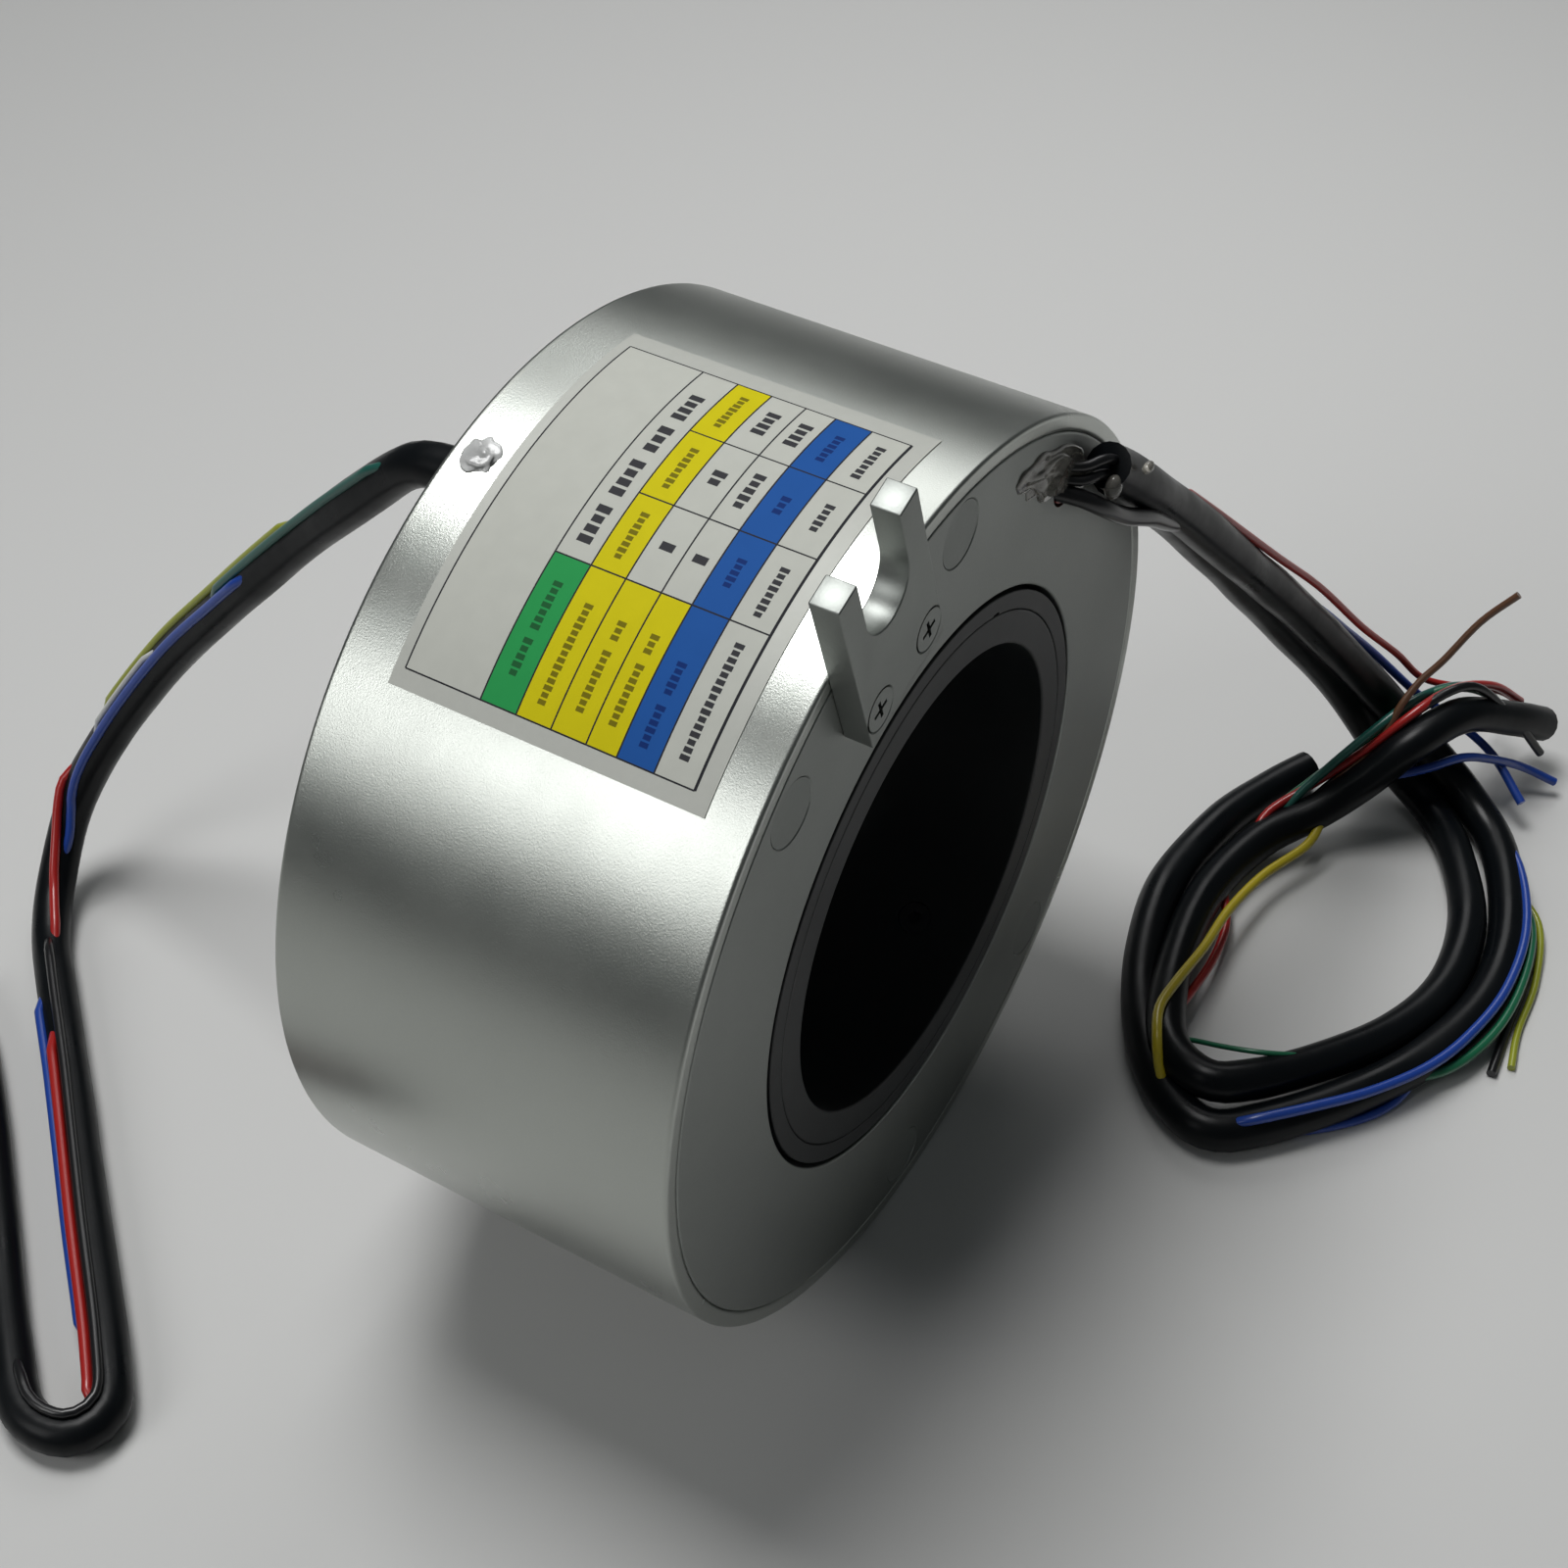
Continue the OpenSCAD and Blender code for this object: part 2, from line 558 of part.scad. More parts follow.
module contact_ring(i) {
    from = stack_in + i * insulator_w + (i - 1) * ring_w;
    mid = from + ring_w / 2;
    half = ring_w * 0.35;
    color([0.83, 0.64, 0.24]) lay_over() turned([[ring_ri, from], [ring_ro, from], [ring_ro, mid - half],
        [track_r, mid - half * 0.6], [track_r, mid + half * 0.6], [ring_ro, mid + half],
        [ring_ro, from + ring_w], [ring_ri, from + ring_w]]);
}

module insulator(i) {
    from = stack_in + (i - 1) * (insulator_w + ring_w);
    color([0.85, 0.83, 0.76]) lay_over() tube(insulator_r, sleeve_r + seat_fit, from, from + insulator_w);
}

module rotor_wiring() {
    wide = groove_w - 1;
    thick = groove_depth - 0.4;
    color([0.1, 0.2, 0.6]) lay_over() rotate([0, 0, rotor_exit_angle]) union() {
        translate([groove_r + hole_fit, -wide / 2, -flange_in - 1]) cube([thick, wide, flange_in - stack_in]);
        translate([groove_r + hole_fit, -wide / 2 + 1, -flange_in - flange_t / 2 + 0.3])
            cube([flange_hole_r - groove_r - 0.3, wide - 2, flange_t / 2]);
        translate([flange_hole_r, 0, -rotor_len]) cylinder(d = flange_hole_d - 1, h = flange_t - 1);
    }
}

module set_screws() {
    color([0.75, 0.75, 0.76]) lay_over() for (a = set_angles) radial(a, set_in) difference() {
        translate([0, 0, flange_r - 0.8 - set_len]) cylinder(d = set_d - 2 * seat_fit, h = set_len);
        translate([0, 0, flange_r - 3]) cylinder(d = 2.9, h = 3, $fn = 6);
    }
}

module rotor_lead_glue() {
    color([0.1, 0.1, 0.1]) lay_over() at(rotor_exit_angle, flange_hole_r, rotor_len + rotor_glue_t)
        cylinder(r1 = rotor_lead_d / 2, r2 = rotor_lead_d / 2 + 0.3, h = rotor_glue_t);
}

module rotor_lead() {
    color([0.08, 0.08, 0.09]) swept(rotor_route, [1, 1] * rotor_lead_d / 2, [1, 0, 0], lead_sides);
}
module rotor_lead_hank() {
    route = [for (p = hank_route) [p[0], p[1], floor_z + rotor_lead_d / 2 + 0.5]];
    color([0.08, 0.08, 0.09]) swept(route, [1, 1] * rotor_lead_d / 2, [0, 0, 1], lead_sides);
}

housing();
front_cap();
rear_cap();
tie_screws();
screw_fillers();
torque_tab();
tab_screws();
label_plate();
side_filler();
brush_block_top();
brush_block_bottom();
spacers_front();
spacers_rear();
for (i = [1:ring_count]) brush_pair(i);
front_outer_race();
rear_outer_race();
front_seal();
rear_seal();
stator_wiring();
stator_lead_glue();
stator_lead();
stator_lead_loop();
stator_lead_tail();
rotor_sleeve();
front_collar();
bore_screws();
end_washers();
for (i = [1:ring_count]) contact_ring(i);
for (i = [1:ring_count + 1]) insulator(i);
front_inner_race();
rear_inner_race();
rotor_wiring();
set_screws();
rotor_lead_glue();
rotor_lead();
rotor_lead_hank();
front_cage();
front_balls();
rear_cage();
rear_balls();
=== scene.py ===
"""Through-bore slip ring: the looks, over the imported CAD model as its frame.

The frame is the CAD one: the spin axis is Y, the front face looks along -Y at y = 0 and +Z is up.
Sizes are in millimetres in the settings and the helpers, and become metres when a mesh is made.
"""

import json
import math
from types import SimpleNamespace

import bmesh
import bpy
from mathutils import Matrix, Vector
from mathutils.noise import noise as noise_at


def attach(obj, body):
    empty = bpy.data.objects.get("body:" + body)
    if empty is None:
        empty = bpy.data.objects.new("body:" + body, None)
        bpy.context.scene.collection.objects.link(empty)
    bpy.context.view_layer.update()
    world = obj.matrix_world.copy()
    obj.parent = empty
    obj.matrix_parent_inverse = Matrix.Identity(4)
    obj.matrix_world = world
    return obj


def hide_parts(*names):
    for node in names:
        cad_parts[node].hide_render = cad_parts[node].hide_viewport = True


bl_info = {
    "name": "Through-bore slip ring",
    "version": (1, 0, 0),
    "blender": (4, 5, 0),
    "location": "View3D > Sidebar > Slip Ring",
    "description": "Builds the visual model of a through-bore slip ring over its CAD frame",
    "category": "Object",
}

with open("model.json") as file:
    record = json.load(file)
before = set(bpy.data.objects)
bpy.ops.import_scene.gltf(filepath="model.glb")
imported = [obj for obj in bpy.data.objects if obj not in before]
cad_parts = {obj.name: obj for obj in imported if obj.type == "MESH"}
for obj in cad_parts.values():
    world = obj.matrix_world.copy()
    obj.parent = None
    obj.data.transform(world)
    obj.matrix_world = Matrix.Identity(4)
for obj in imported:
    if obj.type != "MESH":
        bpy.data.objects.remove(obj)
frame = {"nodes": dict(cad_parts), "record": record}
MM = 0.001
# Degrees between two faces above which their edge is shaded as a sharp one
SHARP = 32
# Clearance between two fitted pieces
FIT = 0.02
# The floor touches the housing from below
FLOOR_Z = -67.5
# The camera's place in metres, the directions of its right side and its view, and its lens
CAMERA_AT = (-0.212044, -0.102677, 0.251972)
CAMERA_RIGHT = (0.5111, -0.8595, 0.0)
CAMERA_FORWARD = (0.6099, 0.3627, -0.7046)
LENS, SENSOR = 56.717, 36.0
# Every material by name, once the first piece has asked for one
MATERIALS = {}


# ---------------------------------------------------------------- settings

def length_setting(name, millimetres, description):
    """A length of the object, given in millimetres and kept in metres."""
    return bpy.props.FloatProperty(name=name, description=description, default=millimetres * MM, min=0.0,
                                   precision=5, unit="LENGTH")


def colour_setting(name, value, description):
    """A finish's colour, as linear red, green and blue."""
    return bpy.props.FloatVectorProperty(name=name, description=description, default=value, size=3, min=0.0,
                                         max=1.0, precision=4, subtype="COLOR")


class HousingSettings(bpy.types.PropertyGroup):
    radius: length_setting("Radius", 67.5, "Outside radius of the housing")
    length: length_setting("Length", 60.0, "Length of the housing along the spin axis")
    inner: length_setting("Inner radius", 63.5, "Inside radius between the caps")
    lip: length_setting("Lip", 2.5, "Wall round the flanges of the caps")
    cap_flange: length_setting("Cap flange", 5.0, "Thickness of the flanges of the caps")
    edge: length_setting("Edge rounding", 0.55, "Rounding of the housing's rims")
    tie_radius: length_setting("Tie screw radius", 59.5, "Distance of the tie screws from the spin axis")
    recess: length_setting("Recess diameter", 9.2, "Diameter of the recess over a tie screw")
    cap_bore: length_setting("Cap bore radius", 43.5, "Radius of the opening in the caps")


class RotorSettings(bpy.types.PropertyGroup):
    bore: length_setting("Bore radius", 35.0, "Radius of the through bore")
    sleeve: length_setting("Sleeve radius", 40.0, "Outside radius of the rotor's sleeve")
    collar: length_setting("Collar radius", 42.8, "Outside radius of the front collar")
    flange: length_setting("Rear flange radius", 50.0, "Outside radius of the clamp flange")
    length: length_setting("Length", 70.0, "Length of the rotor, with its flange")


class BearingSettings(bpy.types.PropertyGroup):
    ball: length_setting("Ball radius", 3.0, "Radius of a bearing ball")
    pitch: length_setting("Pitch radius", 45.0, "Distance of the balls from the spin axis")
    front: length_setting("Front depth", 19.0, "Depth of the front balls behind the front face")
    rear: length_setting("Rear depth", 53.0, "Depth of the rear balls behind the front face")
    count: bpy.props.IntProperty(name="Balls", description="Number of balls in a bearing", default=24, min=3)


class LabelSettings(bpy.types.PropertyGroup):
    angle: bpy.props.FloatProperty(name="Angle", description="Angle of the label's middle round the housing",
                                   default=math.radians(107.4), unit="ROTATION")
    arc: length_setting("Length", 60.6, "Length of the label round the housing")
    front: length_setting("Front edge", 6.6, "Depth of the label's edge behind the front face")
    width: length_setting("Width", 45.3, "Width of the label along the spin axis")
    thickness: length_setting("Thickness", 0.14, "Height of the label over the housing")


class LeadSettings(bpy.types.PropertyGroup):
    power: length_setting("Power sleeve", 6.8, "Diameter of the fixed side's power sleeve")
    signal: length_setting("Signal sleeve", 6.6, "Diameter of the fixed side's signal sleeve")
    rotor: length_setting("Rotor sleeve", 6.6, "Diameter of the turning side's sleeve")


class FinishSettings(bpy.types.PropertyGroup):
    housing: colour_setting("Housing", (0.45, 0.47, 0.44), "Colour of the housing's metal")
    caps: colour_setting("Caps", (0.30, 0.315, 0.30), "Colour of the caps' metal")
    tab: colour_setting("Torque tab", (0.27, 0.285, 0.27), "Colour of the torque tab's metal")
    rotor: colour_setting("Rotor", (0.007, 0.009, 0.010), "Colour of the rotor's black coat")
    jacket: colour_setting("Sleeves", (0.003, 0.004, 0.005), "Colour of the lead sleeves")
    label_white: colour_setting("Label white", (0.55, 0.56, 0.51), "Ground colour of the label")
    label_yellow: colour_setting("Label yellow", (0.66, 0.58, 0.01), "Yellow of the label's fields")
    label_green: colour_setting("Label green", (0.03, 0.33, 0.09), "Green of the label's field")
    label_blue: colour_setting("Label blue", (0.02, 0.10, 0.36), "Blue of the label's band")


def values_of(settings):
    """The values of a settings group, with lengths in millimetres and angles in degrees."""
    made = {}
    for name, prop in settings.bl_rna.properties.items():
        if prop.type not in ("FLOAT", "INT"):
            continue
        value = getattr(settings, name)
        if prop.is_array:
            value = tuple(value)
        elif prop.unit == "LENGTH":
            value = round(value / MM, 4)
        elif prop.unit == "ROTATION":
            value = round(math.degrees(value), 4)
        made[name] = value
    return SimpleNamespace(**made)


# ---------------------------------------------------------------- materials

def shader(name, colour, metallic=0.0, roughness=0.5, coat=0.0, specular=0.5):
    """A material, its nodes, its links and its main shader, with uniform values on the sockets."""
    made = bpy.data.materials.new(name)
    made.use_nodes = True
    nodes, links = made.node_tree.nodes, made.node_tree.links
    main = nodes["Principled BSDF"]
    main.inputs["Base Color"].default_value = (*colour, 1.0)
    main.inputs["Metallic"].default_value = metallic
    main.inputs["Roughness"].default_value = roughness
    main.inputs["Coat Weight"].default_value = coat
    main.inputs["Specular IOR Level"].default_value = specular
    return made, nodes, links, main


def noise(nodes, links, scale, detail=3.0, rough=0.5):
    """Noise in object coordinates."""
    coords = nodes.new("ShaderNodeTexCoord")
    made = nodes.new("ShaderNodeTexNoise")
    made.inputs["Scale"].default_value = scale
    made.inputs["Detail"].default_value = detail
    made.inputs["Roughness"].default_value = rough
    links.new(coords.outputs["Object"], made.inputs["Vector"])
    return made.outputs["Fac"]


def spread(nodes, links, value, low, high):
    """A noise value, spread over low to high."""
    made = nodes.new("ShaderNodeMapRange")
    made.inputs["From Min"].default_value = 0.3
    made.inputs["From Max"].default_value = 0.7
    made.inputs["To Min"].default_value = low
    made.inputs["To Max"].default_value = high
    links.new(value, made.inputs["Value"])
    return made.outputs["Result"]


def tint(nodes, links, value, dark, light):
    """A colour between two, by a noise value."""
    made = nodes.new("ShaderNodeMix")
    made.data_type = "RGBA"
    made.inputs["A"].default_value = (*dark, 1.0)
    made.inputs["B"].default_value = (*light, 1.0)
    links.new(value, made.inputs["Factor"])
    return made.outputs["Result"]


def bump(nodes, links, main, value, strength, distance):
    """Lets a noise value raise the shader's surface by up to distance, in metres."""
    made = nodes.new("ShaderNodeBump")
    made.inputs["Strength"].default_value = strength
    made.inputs["Distance"].default_value = distance
    links.new(value, made.inputs["Height"])
    links.new(made.outputs["Normal"], main.inputs["Normal"])


def blasted(name, colour, roughness, grain, strength, metallic=1.0):
    """Metal with a blasted grain and a slight unevenness of its shine."""
    made, nodes, links, main = shader(name, colour, metallic, roughness)
    wide = noise(nodes, links, 28, 4, 0.6)
    links.new(spread(nodes, links, wide, roughness - 0.04, roughness + 0.05), main.inputs["Roughness"])
    dark = tuple(c * 0.93 for c in colour)
    links.new(tint(nodes, links, noise(nodes, links, grain, 2), dark, colour), main.inputs["Base Color"])
    bump(nodes, links, main, noise(nodes, links, grain, 3, 0.6), strength, 0.00006)
    return made


def sleeve(name, colour, roughness):
    """A plastic sleeve with an uneven shine and shallow wrinkles."""
    made, nodes, links, main = shader(name, colour, 0.0, roughness, coat=0.04, specular=0.16)
    main.inputs["Coat Roughness"].default_value = 0.2
    links.new(spread(nodes, links, noise(nodes, links, 90, 3), roughness - 0.08, roughness + 0.12),
              main.inputs["Roughness"])
    bump(nodes, links, main, noise(nodes, links, 130, 2), 0.35, 0.0004)
    return made


def plastic(name, colour, roughness):
    """Moulded plastic or rubber with a faint mottle."""
    made, nodes, links, main = shader(name, colour, 0.0, roughness)
    dark = tuple(c * 0.86 for c in colour)
    links.new(tint(nodes, links, noise(nodes, links, 120, 3), dark, colour), main.inputs["Base Color"])
    return made


def print_ink(name, colour):
    """Printed film: matt, slightly uneven ink."""
    made, nodes, links, main = shader(name, colour, 0.0, 0.6, specular=0.04)
    dark = tuple(c * 0.9 for c in colour)
    links.new(tint(nodes, links, noise(nodes, links, 350, 3), dark, colour), main.inputs["Base Color"])
    return made


def glue(name, colour, clear):
    """Cast glue with darker blotches in it; clear is the share of light that it lets through."""
    made, nodes, links, main = shader(name, colour, 0.0, 0.16, coat=0.3)
    main.inputs["Transmission Weight"].default_value = clear
    main.inputs["IOR"].default_value = 1.4
    blotch = spread(nodes, links, noise(nodes, links, 190, 3), 0.0, 1.0)
    dark = tuple(c * 0.5 for c in colour)
    links.new(tint(nodes, links, blotch, dark, colour), main.inputs["Base Color"])
    bump(nodes, links, main, noise(nodes, links, 320, 2), 0.5, 0.0004)
    return made


WIRE_COLOURS = {
    "red": (0.36, 0.012, 0.01), "blue": (0.01, 0.05, 0.30), "green": (0.01, 0.13, 0.06),
    # The white colours a thin strand that paints the highlight streak along the turning side's sleeve
    "yellow": (0.50, 0.40, 0.02), "brown": (0.11, 0.05, 0.025), "white": (0.55, 0.56, 0.55),
    "black": (0.005, 0.005, 0.006), "teal": (0.01, 0.09, 0.07), "yellow_green": (0.27, 0.30, 0.02),
}


def make_materials(colours):
    """Every material of the object, by name."""
    made = {
        "satin_aluminium": blasted("satin_aluminium", colours.housing, 0.30, 4000, 0.38),
        "cap_aluminium": blasted("cap_aluminium", colours.caps, 0.46, 2200, 0.35),
        "tab_aluminium": blasted("tab_aluminium", colours.tab, 0.42, 2200, 0.25),
        "spacer_aluminium": blasted("spacer_aluminium", (0.72, 0.73, 0.74), 0.3, 1800, 0.1),
        "black_anodised": blasted("black_anodised", colours.rotor, 0.45, 1800, 0.2, metallic=0.0),
        "dark_steel": blasted("dark_steel", (0.05, 0.05, 0.055), 0.35, 1800, 0.1, metallic=0.7),
        "bright_steel": blasted("bright_steel", (0.55, 0.56, 0.57), 0.3, 1800, 0.1),
        "bearing_steel": blasted("bearing_steel", (0.62, 0.63, 0.65), 0.18, 1800, 0.05),
        "gold_brass": blasted("gold_brass", (0.80, 0.58, 0.22), 0.22, 1500, 0.05),
        "filler": blasted("filler", (0.29, 0.305, 0.29), 0.52, 1200, 0.5, metallic=0.8),
        "board_green": plastic("board_green", (0.06, 0.19, 0.11), 0.4),
        "cage_resin": plastic("cage_resin", (0.42, 0.28, 0.13), 0.5),
        "seal_rubber": plastic("seal_rubber", (0.02, 0.02, 0.02), 0.6),
        "insulator_resin": plastic("insulator_resin", (0.72, 0.69, 0.58), 0.4),
        "lead_jacket": sleeve("lead_jacket", colours.jacket, 0.33),
        "clear_glue": glue("clear_glue", (0.80, 0.76, 0.68), 0.8),
        "white_glue": glue("white_glue", (0.80, 0.81, 0.80), 0.1),
        "black_glue": glue("black_glue", (0.02, 0.02, 0.02), 0.0),
        "label_film": blasted("label_film", (0.47, 0.48, 0.44), 0.5, 900, 0.1, metallic=0.1),
        "label_white": print_ink("label_white", colours.label_white),
        "label_yellow": print_ink("label_yellow", colours.label_yellow),
        "label_green": print_ink("label_green", colours.label_green),
        "label_blue": print_ink("label_blue", colours.label_blue),
        "label_line": print_ink("label_line", (0.03, 0.03, 0.035)),
        "label_bar": print_ink("label_bar", (0.05, 0.05, 0.055)),
        "label_green_word": print_ink("label_green_word", (0.02, 0.12, 0.04)),
        "label_yellow_word": print_ink("label_yellow_word", (0.20, 0.17, 0.01)),
        "label_blue_word": print_ink("label_blue_word", (0.01, 0.035, 0.17)),
    }
    for name, colour in WIRE_COLOURS.items():
        made[f"wire_{name}"] = shader(f"wire_{name}", colour, 0.0, 0.32, 0.2)[0]
    made["wire_jacket"] = made["wire_red"]
    return made


def finishes(context):
    """Every material by name, made at the first call."""
    if not MATERIALS:
        MATERIALS.update(make_materials(values_of(context.scene.slipring_finish)))
    return MATERIALS


# ---------------------------------------------------------------- shapes

def softened(points, radius):
    """A closed outline with its corners rounded, and a support point beside each rounding."""
    made = []
    count = len(points)
    for i, p in enumerate(points):
        here, before, after = Vector(p), Vector(points[i - 1]), Vector(points[(i + 1) % count])
        to_before, to_after = before - here, after - here
        r = min(radius, to_before.length * 0.35, to_after.length * 0.35)
        start, end = here + to_before.normalized() * r, here + to_after.normalized() * r
        made.append(here + to_before.normalized() * min(r * 1.25, to_before.length * 0.45))
        for t in (0.0, 0.25, 0.5, 0.75, 1.0):
            made.append(start * (1 - t) ** 2 + here * (2 * t * (1 - t)) + end * t ** 2)
        made.append(here + to_after.normalized() * min(r * 1.25, to_after.length * 0.45))
    return made


def new_object(name, data, material=None):
    """An object of that mesh, curve, light or camera, linked to the scene."""
    made = bpy.data.objects.new(name, data)
    bpy.context.scene.collection.objects.link(made)
    if material:
        data.materials.append(material)
    return made


def finish_mesh(bm, name, material, sharp=SHARP):
    """The mesh object of a bmesh, with smooth faces and sharp edges above that angle."""
    bmesh.ops.remove_doubles(bm, verts=bm.verts, dist=1e-8)
    bmesh.ops.recalc_face_normals(bm, faces=bm.faces)
    mesh = bpy.data.meshes.new(name)
    bm.to_mesh(mesh)
    bm.free()
    mesh.shade_smooth()
    mesh.set_sharp_from_angle(angle=math.radians(sharp))
    return new_object(name, mesh, material)


def polar(radius, angle, depth):
    """A point at that radius, angle in degrees and depth behind the front face, in metres."""
    a = math.radians(angle)
    return Vector((radius * math.cos(a), depth, radius * math.sin(a))) * MM


def lathe(name, outline, material, rounding, segments=256):
    """A body of revolution about the spin axis, from (radius, depth) points with rounded corners."""
    bm = bmesh.new()
    outline = softened(outline, rounding)
    rings = [[bm.verts.new(polar(p.x, 360 * k / segments, p.y)) for k in range(segments)] for p in outline]
    for i, ring in enumerate(rings):
        after = rings[(i + 1) % len(rings)]
        for k in range(segments):
            m = (k + 1) % segments
            bm.faces.new((ring[k], ring[m], after[m], after[k]))
    return finish_mesh(bm, name, material)


def plug(name, radius, length, place, direction, sides=48, radius_end=None):
    """A cylinder or cone that starts at place and runs along direction, in millimetres."""
    bm = bmesh.new()
    end = radius if radius_end is None else radius_end
    bmesh.ops.create_cone(bm, cap_ends=True, segments=sides, radius1=radius * MM, radius2=end * MM,
                          depth=length * MM)
    turn = Vector((0, 0, 1)).rotation_difference(Vector(direction)).to_matrix().to_4x4()
    bm.transform(Matrix.Translation(Vector(place) * MM) @ turn @ Matrix.Translation((0, 0, length * MM / 2)))
    return finish_mesh(bm, name, None)


def block(name, low, high, angle):
    """A box between two corners in millimetres, turned by that angle about the spin axis."""
    bm = bmesh.new()
    bmesh.ops.create_cube(bm, size=1.0)
    low, high = Vector(low) * MM, Vector(high) * MM
    size = high - low
    bm.transform(Matrix.Translation((low + high) / 2) @ Matrix.Diagonal((*size, 1.0)))
    bm.transform(Matrix.Rotation(-math.radians(angle), 4, "Y"))
    return finish_mesh(bm, name, None)


def bake(obj):
    """The object with its modifiers applied, and no modifiers left."""
    graph = bpy.context.evaluated_depsgraph_get()
    mesh = bpy.data.meshes.new_from_object(obj.evaluated_get(graph))
    old = obj.data
    obj.modifiers.clear()
    obj.data = mesh
    bpy.data.meshes.remove(old)
    return obj


def cut(obj, cutters):
    """obj with the cutters taken away."""
    for cutter in cutters:
        made = obj.modifiers.new("cut", "BOOLEAN")
        made.operation = "DIFFERENCE"
        made.solver = "EXACT"
        made.object = cutter
    bpy.context.view_layer.update()
    bake(obj)
    for cutter in cutters:
        mesh = cutter.data
        bpy.data.objects.remove(cutter)
        bpy.data.meshes.remove(mesh)
    obj.data.shade_smooth()
    obj.data.set_sharp_from_angle(angle=math.radians(SHARP))
    return obj


def add(body, piece, material_slot, *cad_nodes):
    """The piece rides on that body and stands for those CAD nodes."""
    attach(piece, body)
    if cad_nodes:
        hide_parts(*cad_nodes)
    return piece


def dress(materials):
    """CAD nodes keep their mesh and get the scene's materials."""
    for sub in frame["record"]["subparts"]:
        node = frame["nodes"][sub["node"]]
        if node.hide_render:
            continue
        name = "tab_aluminium" if node.name == "tab_screws" else sub["material_slot"]
        node.data.materials.clear()
        node.data.materials.append(materials[name])


# Millimetres over which a wire beside a sleeve comes out of it and goes back in
DIVE = 10.0


def smooth_route(points, step=2.0):
    """Points along a smooth curve through the given ones, about step millimetres apart, in metres."""
    line = [Vector(p) for p in points]
    ends = [line[0] * 2 - line[1]] + line + [line[-1] * 2 - line[-2]]
    made = []
    for a, b, c, d in zip(ends, ends[1:], ends[2:], ends[3:]):
        count = max(2, round((c - b).length / step))
        for i in range(count):
            t = i / count
            made.append(0.5 * (2 * b + (c - a) * t + (2 * a - 5 * b + 4 * c - d) * t ** 2
                               + (3 * b - a - 3 * c + d) * t ** 3))
    made.append(line[-1])
    return [p * MM for p in made]


def beside(route, offset, start_angle, end_angle):
    """A route beside another at that offset, turned round it between two angles, with its ends in it."""
    made = []
    count = len(route)
    total = length_of(route) / MM
    for i, p in enumerate(route):
        ahead = (route[min(i + 1, count - 1)] - route[max(i - 1, 0)]).normalized()
        side = ahead.cross(Vector((0, 0, 1)))
        side = side.normalized() if side.length > 0.05 else Vector((1, 0, 0))
        up = side.cross(ahead).normalized()
        share = i / max(1, count - 1)
        a = math.radians(start_angle + (end_angle - start_angle) * share)
        near = min(1.0, 0.1 + 0.9 * min(share, 1 - share) * total / DIVE)
        made.append(p + (side * math.cos(a) + up * math.sin(a)) * offset * near * MM)
    return made


def length_of(route):
    """The length of a route, in metres."""
    return sum((b - a).length for a, b in zip(route, route[1:]))


def strand(name, route, diameter, material, body, *cad_nodes):
    """A free lead as one open spline along the route, with filled caps at its ends."""
    curve = bpy.data.curves.new(name, "CURVE")
    curve.dimensions = "3D"
    curve.bevel_depth = diameter * MM / 2
    curve.bevel_resolution = 6
    curve.use_fill_caps = True
    line = curve.splines.new("POLY")
    line.points.add(len(route) - 1)
    for point, place in zip(line.points, route):
        point.co = (*place, 1.0)
        point.radius = 1 + 0.07 * noise_at(Vector(place) * 70)
    line.use_smooth = True
    made = new_object(name, curve, material)
    add(body, made, "lead_jacket", *cad_nodes)


# ---------------------------------------------------------------- pieces

# Angles about the spin axis in degrees from +X towards +Z, radii and depths in millimetres
TIE_ANGLES = (86.8, 129.2, 266.8, 309.2)
BORE_SCREW_ANGLES = (-60, 60, 180)
CLAMP_SCREW_ANGLES = (35, 155, 275)
TAB_ANGLE = 108.0
TAB_SCREW_RADIUS, TAB_SCREW_ACROSS = 58.3, 6.1
SIDE_HOLE_ANGLE, SIDE_HOLE_DEPTH = 106.7, 55.8
HUB_RADIUS, RACE_RADIUS = 54.0, 50.02
FRONT_SPIGOT_END, FRONT_SEAT, FRONT_HUB_END = 12, 14, 23.5
REAR_SPIGOT, REAR_SEAT = 48, 58


